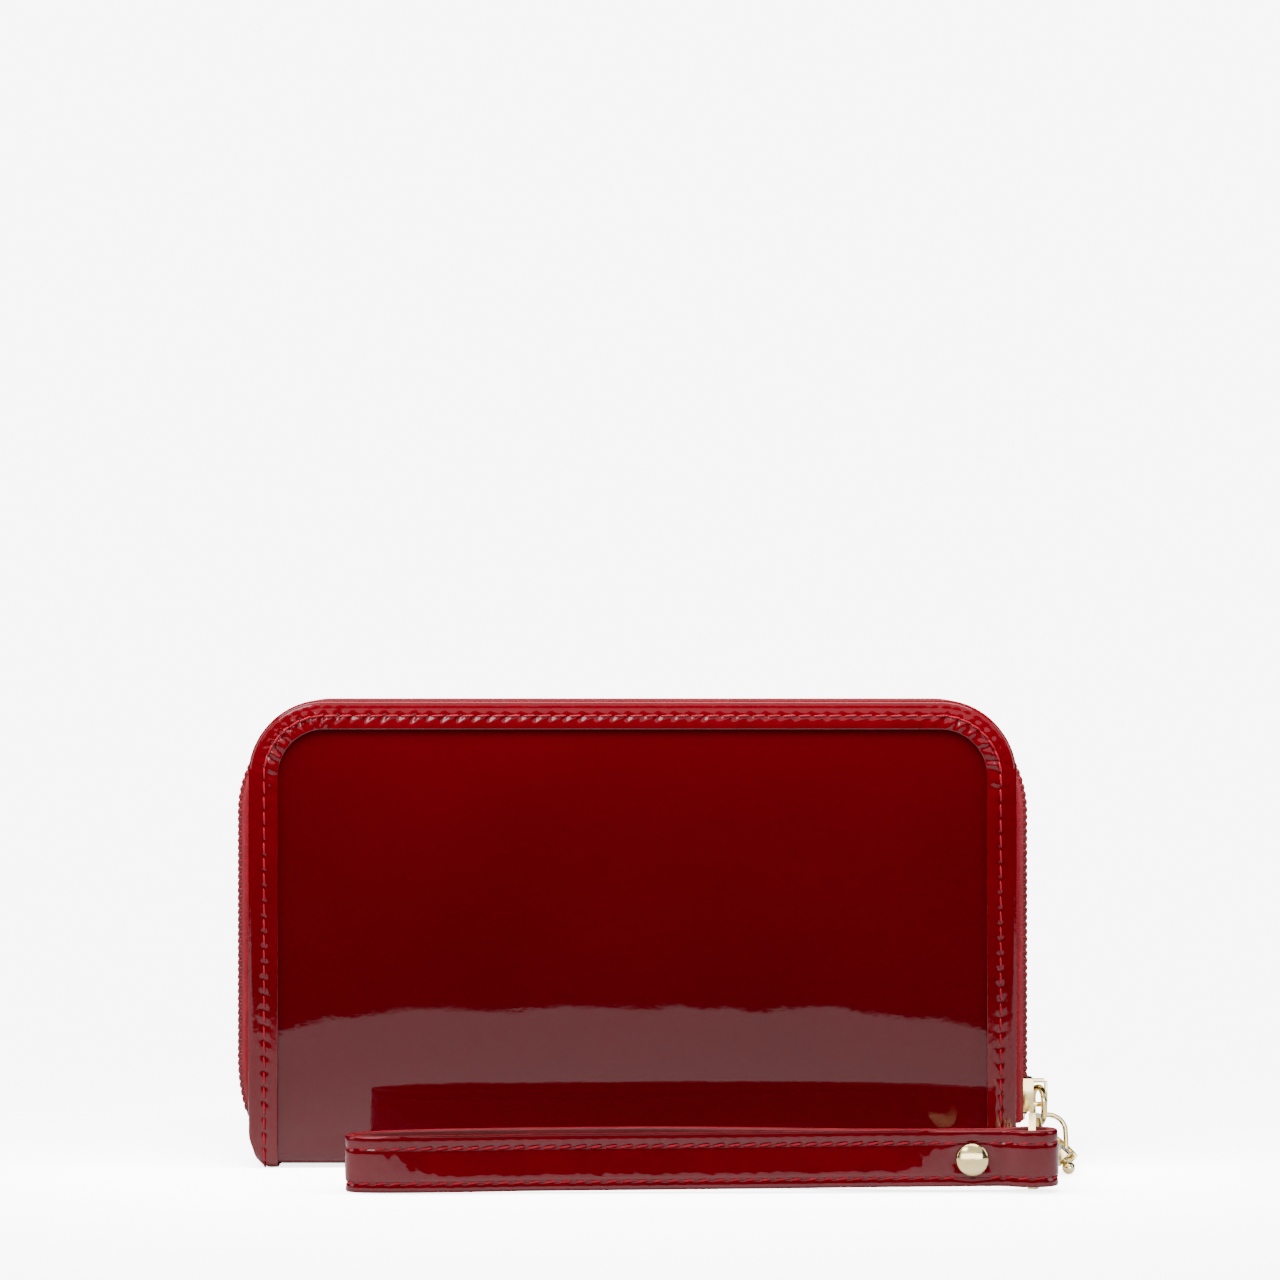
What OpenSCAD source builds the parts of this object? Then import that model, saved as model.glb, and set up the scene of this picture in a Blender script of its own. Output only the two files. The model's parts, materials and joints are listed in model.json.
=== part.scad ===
// Zip around wallet with a wristlet strap. Millimetres, +Z up, +Y to the rear.
// Origin: the middle of the spine's underside, on the surface that the wallet stands on.

/* [Wallet] */
// Width of the covers
cover_w = 180.5; // [176:0.5:186]
// Height of the covers
cover_h = 110; // [108:0.5:114]
// Thickness over both covers with the zip closed
wallet_t = 25.4; // [25.2:0.1:28]
// Radius of the covers' top corners
corner_r = 18; // [14:0.5:20]
// Radius of the covers' bottom corners
foot_r = 5; // [3:0.5:6]
// Width of the border band
border_w = 7; // [5:0.5:9]
// Thickness of one layer of leather
leather_t = 0.9; // [0.8:0.05:1]
// Thickness of the stiffening board and of the lining
ply_t = 0.6; // [0.5:0.05:0.7]

/* [Inside] */
// Thickness of one card pocket sheet
pocket_t = 0.6; // [0.4:0.05:0.7]
// Height of the first pocket's top edge above the floor
pocket_top = 92; // [84:1:96]
// Step down from each pocket's top edge to the next
pocket_step = 14; // [10:1:16]
// Half width of the card pockets
pocket_half_w = 84.5; // [80:0.5:85]
// Inside width of the coin pocket, front to rear
coin_gap = 4.2; // [4.1:0.1:4.6]
// Half width of the coin pocket
coin_half_w = 80; // [70:0.5:81]
// Depth of the pleats in the side gussets
pleat_depth = 22; // [16:1:26]

/* [Zip] */
// Half width from the middle to the outer face of the zip tape
zip_half_w = 91.4; // [91:0.1:92]
// Radius of the zip's corners, to the outer face of the tape
zip_r = 23.1; // [22:0.1:23.1]
// Height of the zip corners' centres
zip_corner_z = 83.5; // [83:0.5:84]
// Thickness of the coil
coil_t = 2.3; // [2:0.1:2.4]
// Width of each coil
coil_w = 2.6; // [2.2:0.1:2.8]
// Height of the slider's lower end when the zip is closed
slider_z = 12.3; // [12.3:0.1:14]
// Length of the slider
slider_l = 7.9; // [7.5:0.1:9]

/* [Pull and clasp] */
// Turn of the pull loop about the vertical
pull_turn = 20; // [16:1:24]
// Radius of the oval link's ends to the middle of its wire
ring_r = 4; // [3.9:0.05:4]
// Lean of the oval link towards the front
ring_lean = 30; // [28:1:32]
// Roll of the clasp about its own length
clasp_roll = 41; // [38:1:44]

/* [Strap] */
// Width of the strap
strap_w = 12.7; // [12:0.1:13]
// Thickness of the strap
strap_t = 2.2; // [2:0.1:2.4]
// Rise of the strap towards the clasp
strap_tilt = 0.5; // [0.46:0.02:0.52]
// Diameter of the rivet's cap
rivet_d = 7.3; // [7:0.1:7.6]

/* [Hidden] */
$fn = 96;
fine = 0.01;
half_w = cover_w / 2;
half_t = wallet_t / 2;
// The four plies of a cover, as depths from its outer face
d_panel = leather_t;
d_board = 2 * leather_t;
d_lining = d_board + ply_t;
cover_t = d_lining + ply_t;
inner_y = half_t - cover_t;
body_gap = 0.3;
rear_edge_y = inner_y - body_gap;
base_z = cover_t + body_gap;
// The zip's corner centre, and the outlines that follow it
zip_cx = zip_half_w - zip_r;
tape_t = 0.6;
flange_w = 6.65;
coil_gap = 1;
tape_gap = 1.2;
tape_foot_z = 10.4;
stop_h = 1.6;
bend_r = 43;
bend_a = 20.4;
bend_z = 25;
// The stack of pockets, the space for notes and the coin pocket
coin_wall_y = coin_gap / 2;
coin_face_y = coin_wall_y + ply_t;
coin_top_z = 84;
coin_tape_l = 152;
coin_zip_gap = 0.8;
coin_coil_t = 1.4;
coin_slider_l = 7;
coin_slider_x = coin_tape_l / 2 - 12;
// The slider
plate_t = 1;
slide_gap = 0.25;
coin_plate_t = 0.8;
coin_crown_z = coin_top_z + coin_coil_t + slide_gap + coin_plate_t;
slider_w = 7.6;
slider_y0 = -3.9;
plate_x = zip_half_w + coil_t + slide_gap;
crown_x = 97.85;
// The pull loop hangs from the slider's crown
pull_c = [96.45, 0, 13.5];
pull_h = 9.8;
pull_w = 7.5;
pull_bar = 1.2;
pull_t = 1.3;
// The oval link hangs in the pull loop, clear of the coil
wire_r = 0.575;
ring_half = 2;
ring_top = [98.6, -0.5, 11.25];
ring_c = ring_top - (ring_r + ring_half) * [0, sin(ring_lean), cos(ring_lean)];
// The clasp runs from the middle of its hook to the eye's bar in the strap
hook_c = [101.3, -5.1, 3.9];
eye_c = [90, -53.6, 9];
clasp_v = hook_c - eye_c;
clasp_l = norm(clasp_v);
clasp_yaw = atan2(clasp_v[1], clasp_v[0]);
clasp_dip = -asin(clasp_v[2] / clasp_l);
hook_r = 2.6;
hook_bar = 1.6;
hook_t = 2.5;
body_t = 4;
pin_x = -16.5;
pin_y = -1.9;
pin_r = 0.6;
gate_t = 0.75;
knob_at = [-18.3, -5.9];
post_r = 1;
fit = 0.05;
eye_half_h = 8.5;
eye_bar = 1.1;
eye_t = 1.6;
// The strap's loop, as the middle line of each side
strap_y = -53.6;
strap_x0 = -64.5;
strap_x1 = 95.9;
rivet_x = 76.5;
rivet_z = 6.1;
near_w = 2.4;
nose_w = 3.9;
far_w = 10.7;
pinch = strap_t / 2 + 0.05;
end_w = 3.9;
steps = 8;

// ---- Helpers ----

// A flat outline in X and Z with round top and bottom corners
module outline(hw, z0, z1, r_top, r_foot) {
    translate([-hw, z0 + r_foot]) square([2 * hw, z1 - r_top - z0 - r_foot]);
    translate([-hw + r_top, z1 - r_top]) square([2 * (hw - r_top), r_top]);
    translate([-hw + r_foot, z0]) square([2 * (hw - r_foot), r_foot]);
    for (s = [-1, 1]) {
        translate([s * (hw - r_top), z1 - r_top]) circle(r_top);
        translate([s * (hw - r_foot), z0 + r_foot]) circle(r_foot);
    }
}

// The cover's own outline, drawn in by d
module cover_outline(d) {
    outline(half_w - d, d, cover_h - d, corner_r - d, foot_r - d);
}

// An outline that follows the zip at radius r, down to height z0
module zip_outline(r, z0) {
    outline(zip_cx + r, z0, zip_corner_z + r, r, 1);
}

// Children drawn in X and Z, made solid from y0 to y1
module slab(y0, y1) {
    translate([0, y1, 0]) rotate([90, 0, 0]) linear_extrude(height = y1 - y0) children();
}

// Children made into a ply of one cover, between two depths from its outer face
module ply(side, d0, d1) {
    y0 = side < 0 ? -half_t + d0 : half_t - d1;
    slab(y0, y0 + d1 - d0) children();
}

// The strip of a cover that the curled end of the zip takes, at depth d inside the tape's face
module curled_edge(d) {
    edge_x = zip_half_w - bend_r + (bend_r - d) * cos(bend_a) - body_gap;
    translate([-cover_w, 0]) square([cover_w - edge_x, bend_z]);
}

// The border's flat shape: a band over the sides and the top
module border_shape() {
    difference() {
        cover_outline(0);
        outline(half_w - border_w, -foot_r, cover_h - border_w, 9.5, 1);
    }
}

// Children are the section: X is the offset out of the zip's line and Y is depth, front positive
module along_zip() {
    side_h = zip_corner_z - bend_z;
    translate([-zip_cx, 0, zip_corner_z + zip_r]) rotate([0, -90, 0]) rotate([180, 0, 0])
        linear_extrude(height = 2 * zip_cx) children();
    for (s = [0, 1]) mirror([s, 0, 0]) {
        translate([zip_cx, 0, zip_corner_z]) rotate([90, 0, 0])
            rotate_extrude(angle = 90) translate([zip_r, 0]) children();
        translate([zip_half_w, 0, zip_corner_z]) rotate([180, 0, 0])
            linear_extrude(height = side_h) children();
    }
    // The closed end stays straight and the open end curls in
    translate([zip_half_w, 0, bend_z]) rotate([180, 0, 0])
        linear_extrude(height = bend_z - tape_foot_z) children();
    mirror([1, 0, 0]) translate([zip_half_w - bend_r, 0, bend_z]) rotate([90, 0, 0])
        rotate([0, 0, -bend_a]) rotate_extrude(angle = bend_a, $fn = 360)
            translate([bend_r, 0]) children();
}

// A rectangle of the zip's section between two depths on one side of the middle
module zip_bar(side, u0, u1, y0, y1) {
    translate([u0, side < 0 ? y0 : -y1]) square([u1 - u0, y1 - y0]);
}

// Joins points with bars of thickness t
module strip(pts, t) {
    for (i = [0:len(pts) - 2]) {
        v = pts[i + 1] - pts[i];
        translate(pts[i]) rotate(atan2(v[1], v[0])) translate([-t / 2, -t / 2])
            square([norm(v) + t, t]);
    }
}

// Moves children into the clasp's frame: +X towards the hook, rolled by roll
module clasp_frame(roll) {
    translate(hook_c) rotate([0, 0, clasp_yaw]) rotate([0, clasp_dip, 0])
        rotate([roll, 0, 0]) children();
}

// A bar along X between two stations
module rod(x0, x1, r) {
    translate([x0, 0, 0]) rotate([0, 90, 0]) cylinder(h = x1 - x0, r = r, $fn = 48);
}

function cubic(p, u) = pow(1 - u, 3) * p[0] + 3 * pow(1 - u, 2) * u * p[1]
    + 3 * (1 - u) * u * u * p[2] + pow(u, 3) * p[3];
function slope(p, u) = pow(1 - u, 2) * (p[1] - p[0]) + 2 * (1 - u) * u * (p[2] - p[1])
    + u * u * (p[3] - p[2]);
function left_of(v) = [-v[1], v[0]] / norm(v);

// The left half of each side: from the nose to the widest place, as cubic curves
function far_nose(x0, w) = [[[x0, 0], [x0, 0.65 * w], [x0 + 12, w], [-10, w]]];
function near_nose(x0, w) = let (n = nose_w) [
    [[x0, 0], [x0, 0.85 * n], [x0 + 6, n], [x0 + 16, n]],
    [[x0 + 16, n], [x0 + 34, n], [-34, w], [-10, w]]];

// The right half of each side: in to the rivet, and round the end loop
function right_half(x1, w) = [
    [[-10, w], [25, w], [45, pinch], [70, pinch]],
    [[70, pinch], [75, pinch], [80, pinch], [82, pinch]],
    [[82, pinch], [86, pinch], [86, end_w], [89.5, end_w]],
    [[89.5, end_w], [92.5, end_w], [x1, 2.8], [x1, 0]]];

// The points of one side, moved off the middle line by d, away from the loop's inside
function side_points(curves, d) = [for (c = curves) for (i = [0:steps - 1])
    cubic(c, i / steps) + d * left_of(slope(c, i / steps))];

// The whole loop, moved off its middle line by d; the near side is drawn mirrored
function loop_points(d) = let (
        x0 = strap_x0 + strap_t / 2,
        x1 = strap_x1 - strap_t / 2,
        far = side_points(concat(far_nose(x0, far_w), right_half(x1, far_w)), d),
        near = side_points(concat(near_nose(x0, near_w), right_half(x1, near_w)), d))
    concat(far, [[x1 + d, 0]], [for (i = [len(near) - 1:-1:1]) [near[i][0], -near[i][1]]]);

// Lays children, drawn from above, on the strap's place, from height z0 to z1
module on_strap(z0, z1) {
    translate([strap_x0, strap_y, 0]) rotate([0, -strap_tilt, 0]) translate([-strap_x0, 0, z0])
        linear_extrude(height = z1 - z0) children();
}

// The strap between two offsets of its middle line
module strap_ply(d0, d1, z0, z1) {
    on_strap(z0, z1) difference() {
        polygon(loop_points(d1));
        polygon(loop_points(d0));
    }
}

// Children along the rivet's axis, which runs through both sides of the strap
module at_rivet() {
    translate([strap_x0, strap_y, 0]) rotate([0, -strap_tilt, 0])
        translate([rivet_x - strap_x0, 0, rivet_z]) rotate([90, 0, 0]) children();
}

// ---- Covers ----

module panel(side) {
    color("#6b0007") ply(side, d_panel, d_board) cover_outline(leather_t);
}

module border(side) {
    color("#7a0810") union() {
        ply(side, 0, d_panel) border_shape();
        ply(side, d_panel, d_board) difference() {
            border_shape();
            cover_outline(leather_t);
            translate([-half_w, -1]) square([cover_w, 1 + leather_t]);
        }
        // The turned edge fills the cover's rim outside the zip
        ply(side, d_board, cover_t) difference() {
            intersection() {
                border_shape();
                translate([-half_w, zip_corner_z]) square([cover_w, cover_h]);
            }
            zip_outline(zip_r + 0.1, 0);
        }
    }
}

module board(side) {
    color("#8a7a66") ply(side, d_board, d_lining) difference() {
        zip_outline(zip_r - flange_w - 0.1, d_board);
        curled_edge(flange_w);
    }
}

module lining(side) {
    color("#5a2a30") ply(side, d_lining, cover_t) difference() {
        zip_outline(zip_r - tape_t - 0.55, d_board);
        curled_edge(tape_t);
    }
}

// The thread row lies on the border as one raised line
module stitching(side) {
    inset = 3.8;
    thread = 0.5;
    proud = 0.2;
    color("#b0232f") ply(side, -proud, 0) difference() {
        outline(half_w - inset, 2, cover_h - inset, corner_r - inset, 1);
        outline(half_w - inset - thread, 0, cover_h - inset - thread,
            corner_r - inset - thread, 0.5);
    }
}

// Pocket sheets lie on the lining; the first reaches highest and lies deepest
module pocket(side, i) {
    y0 = inner_y - (i + 1) * pocket_t;
    z1 = pocket_top - i * pocket_step;
    color(i == 0 ? "#5a2a30" : "#6b0007")
        slab(side < 0 ? -y0 - pocket_t : y0, side < 0 ? -y0 : y0 + pocket_t)
            translate([-pocket_half_w, base_z]) square([2 * pocket_half_w, z1 - base_z]);
}

// ---- Spine ----

// One layer of the spine: the cover outline's foot between two depths
module spine_layer(d0, d1, z_top) {
    slab(-inner_y, rear_edge_y) intersection() {
        difference() {
            cover_outline(d0);
            outline(half_w - d1, d1, cover_h, corner_r, foot_r - d1);
        }
        translate([-half_w, 0]) square([cover_w, z_top]);
    }
}

module spine_panel() {
    rest_half_y = 8;
    color("#6b0007") union() {
        spine_layer(leather_t, d_board, foot_r);
        // Between the bands the spine sags down to the surface
        translate([border_w - half_w + body_gap, -rest_half_y, 0])
            cube([cover_w - 2 * (border_w + body_gap), 2 * rest_half_y, leather_t]);
    }
}

module spine_bands() {
    color("#7a0810") intersection() {
        spine_layer(0, leather_t, foot_r);
        for (s = [-1, 1]) translate([s * (half_w - border_w / 2) - border_w / 2, -half_t, -1])
            cube([border_w, wallet_t, foot_r + 2]);
    }
}

module spine_board() {
    color("#8a7a66") spine_layer(d_board, d_lining, foot_r);
}

module spine_lining() {
    color("#5a2a30") spine_layer(d_lining, cover_t, foot_r);
}

// ---- Zip around the wallet ----

module zip_tape(side) {
    flange_y = half_t - d_lining;
    color("#b84048") along_zip() {
        zip_bar(side, -tape_t, 0, tape_gap / 2, flange_y + ply_t);
        zip_bar(side, -flange_w, 0, flange_y, flange_y + ply_t);
    }
}

module zip_coil(side) {
    color("#a02832") difference() {
        along_zip() zip_bar(side, 0, coil_t, coil_gap / 2, coil_gap / 2 + coil_w);
        // The stops take the last of the tape at both ends
        translate([-cover_w, -half_t, 0]) cube([2 * cover_w, wallet_t, slider_z - body_gap]);
    }
}

module zip_stops(side) {
    h = slider_z - body_gap - tape_foot_z;
    end_gap_a = 1.4;
    stop_a = bend_a - end_gap_a;
    y0 = side < 0 ? -coil_gap / 2 - coil_w : coil_gap / 2;
    color("#d9c08a") {
        translate([zip_half_w, y0, tape_foot_z]) cube([stop_h, coil_w, h]);
        mirror([1, 0, 0]) translate([zip_half_w - bend_r, y0, bend_z])
            rotate([0, stop_a, 0]) translate([bend_r, 0, -h / 2])
                cube([stop_h, coil_w, h]);
    }
}

// The slider's plates hold the front coil by a lip; the rear coil can leave sideways
module slider() {
    lip_t = 0.5;
    web_z = 5;
    web_t = 0.4;
    inner_x = zip_half_w - tape_t - slide_gap;
    arch_t = 0.7;
    crown_w = 1.8;
    eye_z0 = 1.9;
    eye_z1 = 6.6;
    crown_end = 0.9;
    crown_root = 1;
    arch_root = 0.4;
    crown_l = eye_z1 + crown_end;
    y1 = slider_y0 + slider_w;
    cut_w = 2.2;
    cut_d = cut_w * tan(pull_turn);
    color("#d9c08a") translate([0, 0, slider_z]) {
        // The outer plate is cut back where the turned pull loop hangs beside it
        translate([plate_x, 0, 0]) linear_extrude(height = slider_l) polygon([[0, slider_y0],
            [plate_t, slider_y0], [plate_t, y1 - cut_w], [plate_t - cut_d, y1], [0, y1]]);
        translate([plate_x - coil_t + 0.1, slider_y0, 0]) cube([coil_t, lip_t, slider_l]);
        translate([inner_x - plate_t, slider_y0, 0]) cube([plate_t, slider_w, slider_l]);
        translate([inner_x - fine, -web_t / 2, slider_l - web_z])
            cube([plate_x - inner_x + 2 * fine, web_t, web_z]);
        translate([0, crown_w / 2, 0]) rotate([90, 0, 0]) linear_extrude(height = crown_w)
            difference() {
                union() {
                    translate([plate_x, eye_z0 - crown_root]) square([crown_x - plate_x, crown_l - eye_z0 + crown_root]);
                    translate([crown_x - fine, eye_z0 - arch_root])
                        square([arch_t, crown_l - eye_z0 - arch_root / 2]);
                }
                translate([plate_x + plate_t, eye_z0])
                    square([crown_x - plate_x - plate_t, eye_z1 - eye_z0]);
            }
    }
}

// A flat loop; its top bar passes through the slider's crown
module puller() {
    module round_bar(w, h) {
        for (s = [-1, 1]) translate([0, s * (h - w) / 2]) circle(d = w);
        translate([-w / 2, -(h - w) / 2]) square([w, h - w]);
    }
    color("#e2cf9f") translate(pull_c) rotate([0, 0, pull_turn]) rotate([90, 0, 90])
        translate([0, 0, -pull_t / 2]) linear_extrude(height = pull_t) difference() {
            round_bar(pull_w, pull_h);
            round_bar(pull_w - 2 * pull_bar, pull_h - 2 * pull_bar);
        }
}

module link_ring() {
    color("#e2cf9f") translate(ring_c) rotate([90 - ring_lean, 0, 0]) {
        for (s = [0, 1]) mirror([0, s, 0]) translate([0, ring_half, 0])
            rotate_extrude(angle = 180) translate([ring_r, 0]) circle(wire_r, $fn = 32);
        for (s = [-1, 1]) translate([s * ring_r, ring_half, 0]) rotate([90, 0, 0])
            cylinder(h = 2 * ring_half, r = wire_r, $fn = 32);
    }
}

// ---- Clasp ----

// The hook and body, flat in X and Y of the clasp's frame; the gate's side is -Y
module clasp_claw() {
    outer = hook_r + hook_bar;
    body_x0 = -20.5;
    body_x1 = -12.5;
    barrel_x0 = -26.5;
    color("#e2cf9f") clasp_frame(clasp_roll) difference() {
        union() {
            translate([0, 0, -hook_t / 2]) linear_extrude(height = hook_t) difference() {
                union() {
                    circle(outer);
                    translate([body_x1 - 1, 0]) square([-body_x1 + 1, outer]);
                }
                circle(hook_r);
                translate([body_x1 - 2, -outer - 1]) square([-body_x1 + 2, outer + 1 + hook_r]);
                // The tip is cut back to the gate
                translate([-outer, -outer - 1]) square([outer - 0.4, outer + 1]);
            }
            translate([body_x0, -outer + 0.4, -body_t / 2])
                cube([body_x1 - body_x0, 2 * outer - 0.4, body_t]);
            rod(barrel_x0, body_x0 + fine, 2.8);
        }
        // Slot that the gate's root turns in
        translate([body_x0 + 0.8, -outer - 1, -1]) cube([body_x1 - body_x0, outer + 2, 2]);
        translate([pin_x, pin_y, -body_t]) cylinder(h = 2 * body_t, r = pin_r, $fn = 48);
        // Socket for the swivel's head, and the hole for its post
        rod(-25.2, -21.8, 1.8);
        rod(barrel_x0 - 1, -25, post_r + fit);
    }
}

module clasp_gate() {
    outer = hook_r + hook_bar;
    z0 = -0.75;
    color("#d9c08a") clasp_frame(clasp_roll) difference() {
        union() {
            translate([0, 0, z0]) linear_extrude(height = gate_t) {
                translate([pin_x, pin_y]) circle(1.5, $fn = 48);
                strip([[pin_x, pin_y - 0.6], [-11.5, -outer + 0.8], [-1.9, -outer + 0.8]], 1.4);
                strip([[pin_x, pin_y], knob_at + [0, 1]], 1.3);
            }
            translate([knob_at[0], knob_at[1], z0 + gate_t / 2]) sphere(r = 1.5, $fn = 48);
        }
        translate([pin_x, pin_y, -body_t]) cylinder(h = 2 * body_t, r = pin_r + fit, $fn = 48);
    }
}

module gate_pin() {
    color("#b89a5a") clasp_frame(clasp_roll) translate([pin_x, pin_y, -body_t / 2])
        cylinder(h = body_t, r = pin_r, $fn = 48);
}

// Two turns of a spring round the pin, beside the gate
module gate_spring() {
    color("#909090") clasp_frame(clasp_roll) for (i = [0:1])
        translate([pin_x, pin_y, 0.3 + i * 0.38]) rotate_extrude()
            translate([0.85, 0]) circle(0.17, $fn = 20);
}

// A flat D: straight at x0, round beyond x1, r high each way
module d_shape(x0, x1, r) {
    translate([x0, -r]) square([x1 - x0, 2 * r]);
    translate([x1, 0]) rotate(-90) intersection() {
        circle(r);
        translate([-r, 0]) square([2 * r, r]);
    }
}

// The swivel's head, post and eye; the strap hangs on the eye's far bar
module clasp_eye() {
    arc_x = 4.8 - clasp_l;
    bar_x = -clasp_l - eye_bar / 2;
    inner_h = eye_half_h - eye_bar;
    color("#e2cf9f") clasp_frame(0) {
        rod(-24.9, -23.2, 1.5);
        rod(-30, -24.9, post_r);
        rod(arc_x + inner_h, -27.6, 1.7);
        rod(-28.9, -26.8, 2.3);
        translate([0, eye_t / 2, 0]) rotate([90, 0, 0]) linear_extrude(height = eye_t)
            difference() {
                d_shape(bar_x, arc_x, eye_half_h);
                d_shape(bar_x + eye_bar, arc_x, inner_h);
            }
    }
}

// ---- Strap ----

module rivet_hole() {
    hole_r = 1.1;
    at_rivet() translate([0, 0, -strap_t * 2]) cylinder(h = strap_t * 4, r = hole_r, $fn = 48);
}

module strap_outer() {
    color("#7a0810") difference() {
        strap_ply(0, strap_t / 2, 0, strap_w);
        rivet_hole();
    }
}

module strap_lining() {
    color("#6b0007") difference() {
        strap_ply(-strap_t / 2, 0, 0, strap_w);
        rivet_hole();
    }
}

// Two thread rows, each lying on the outer face as one raised line
module strap_stitching() {
    row_low = 2.1;
    row_high = 2.8;
    row_w = 0.5;
    row_t = 0.2;
    color("#c02838") difference() {
        for (z = [row_low, strap_w - row_high])
            strap_ply(strap_t / 2, strap_t / 2 + row_t, z - row_w / 2, z + row_w / 2);
        at_rivet() translate([0, 0, -strap_t * 2])
            cylinder(h = strap_t * 4, d = rivet_d + body_gap);
    }
}

module rivet_cap() {
    face = pinch + strap_t / 2;
    dome_r = 6.5;
    dome_h = 1.4;
    color("#e2cf9f") at_rivet() {
        intersection() {
            translate([0, 0, face + dome_h - dome_r]) sphere(r = dome_r);
            translate([0, 0, face]) cylinder(h = dome_h, d = rivet_d);
        }
        translate([0, 0, -face]) cylinder(h = 2 * face, r = 1, $fn = 48);
    }
}

module rivet_base() {
    face = pinch + strap_t / 2;
    base_t = 0.8;
    color("#e2cf9f") at_rivet() translate([0, 0, -face - base_t]) cylinder(h = base_t, d = rivet_d);
}

// ---- Coin pocket ----

module coin_wall(side) {
    color("#5a2a30") slab(side < 0 ? -coin_face_y : coin_wall_y, side < 0 ? -coin_wall_y : coin_face_y)
        translate([-coin_half_w, base_z]) square([2 * coin_half_w, coin_top_z - base_z]);
}

// The seam closes the pocket's sides and bottom
module coin_seam() {
    seam = 1.5;
    color("#6b0007") slab(-coin_wall_y, coin_wall_y) difference() {
        translate([-coin_half_w, base_z]) square([2 * coin_half_w, coin_top_z - base_z]);
        translate([seam - coin_half_w, base_z + seam])
            square([2 * (coin_half_w - seam), coin_top_z]);
    }
}

module coin_zip_tapes() {
    color("#7a2a30") for (s = [-1, 1]) translate([-coin_tape_l / 2, s < 0 ? -coin_wall_y : 0.5,
        coin_top_z - tape_t]) cube([coin_tape_l, coin_wall_y - 0.5, tape_t]);
}

module coin_zip_coils() {
    w = coin_wall_y - 0.1 - coin_zip_gap / 2;
    l = coin_tape_l - 8;
    color("#7a2a30") for (s = [-1, 1]) translate([-l / 2, s < 0 ? -coin_zip_gap / 2 - w : coin_zip_gap / 2,
        coin_top_z]) cube([l, w, coin_coil_t]);
}

module coin_zip_stops() {
    color("#d9c08a") for (s = [0, 1]) mirror([s, 0, 0])
        translate([coin_tape_l / 2 - 3.6, -coin_wall_y, coin_top_z]) cube([2, coin_gap, 1]);
}

// Two plates and a web, with a crown for the tab on top
module coin_slider() {
    w = 2 * coin_wall_y + 1;
    under_t = 0.7;
    under = coin_top_z - tape_t - slide_gap - under_t;
    web_l = 4;
    web_t = 0.3;
    crown_w = 1.4;
    color("#d9c08a") translate([coin_slider_x, 0, 0]) {
        translate([0, -w / 2, coin_crown_z - coin_plate_t]) cube([coin_slider_l, w, coin_plate_t]);
        translate([0, -coin_wall_y + slide_gap, under])
            cube([coin_slider_l, coin_gap - 2 * slide_gap, under_t]);
        translate([coin_slider_l - web_l, -web_t / 2, under + under_t - fine])
            cube([web_l, web_t, coin_crown_z - coin_plate_t - under - under_t + 2 * fine]);
        translate([0, crown_w / 2, 0]) rotate([90, 0, 0]) linear_extrude(height = crown_w) difference() {
            translate([1, coin_crown_z]) square([5, 2.5]);
            translate([1.7, coin_crown_z]) square([3.6, 1.9]);
        }
    }
}

// A flat tab; its cross bar turns in the crown
module coin_puller() {
    tab_l = 16;
    bar_x = coin_slider_x + 2.4;
    z0 = coin_crown_z + 0.45;
    color("#e2cf9f") {
        translate([bar_x - 0.5, -2.6, z0]) cube([1, 5.2, 1]);
        for (s = [-1, 1]) translate([bar_x - 4, s * 2.1 - 0.5, z0]) cube([4, 1, 1]);
        translate([bar_x - tab_l, -2.6, z0]) cube([tab_l - 3.6, 5.2, 1]);
    }
}

// ---- Gussets ----

// A pleated side wall from the front cover, past the coin pocket's edge, to the rear cover
module gusset(side) {
    t = 0.5;
    gusset_h = 62;
    edge_x = 86.8;
    root_y = inner_y - body_gap;
    fold_x = edge_x - pleat_depth;
    y_fold = (coin_face_y + inner_y - 4 * pocket_t) / 2;
    tuck_x = coin_half_w + 1.2;
    front = [[edge_x, -root_y], [edge_x - 0.5, -y_fold - 1.2], [fold_x, -y_fold],
        [tuck_x, -coin_face_y - 0.7]];
    rear = [for (i = [len(front) - 1:-1:0]) [front[i][0], -front[i][1]]];
    color("#5a0a10") mirror([side < 0 ? 1 : 0, 0, 0]) translate([0, 0, base_z + 1.5])
        linear_extrude(height = gusset_h) strip(concat(front, rear), t);
}

panel(-1);  // front_panel
border(-1);  // front_border
board(-1);  // front_board
lining(-1);  // front_lining
stitching(-1);  // front_stitching
spine_panel();
spine_bands();
spine_board();
spine_lining();
pocket(-1, 0);  // front_slip_pocket
pocket(-1, 1);  // front_card_pocket_1
pocket(-1, 2);  // front_card_pocket_2
pocket(-1, 3);  // front_card_pocket_3
zip_tape(-1);  // zip_tape_front
zip_coil(-1);  // zip_coil_front
zip_stops(-1);  // zip_stops_front
panel(1);  // rear_panel
border(1);  // rear_border
board(1);  // rear_board
lining(1);  // rear_lining
stitching(1);  // rear_stitching
pocket(1, 0);  // rear_slip_pocket
pocket(1, 1);  // rear_card_pocket_1
pocket(1, 2);  // rear_card_pocket_2
pocket(1, 3);  // rear_card_pocket_3
zip_tape(1);  // zip_tape_rear
zip_coil(1);  // zip_coil_rear
zip_stops(1);  // zip_stops_rear
gusset(-1);  // gusset_left
gusset(1);  // gusset_right
coin_wall(-1);  // coin_wall_front
coin_wall(1);  // coin_wall_rear
coin_seam();
coin_zip_tapes();
coin_zip_coils();
coin_zip_stops();
coin_slider();
coin_puller();
slider();
puller();
link_ring();
clasp_claw();
clasp_gate();
gate_pin();
gate_spring();
clasp_eye();
strap_outer();
strap_lining();
strap_stitching();
rivet_cap();
rivet_base();
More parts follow.
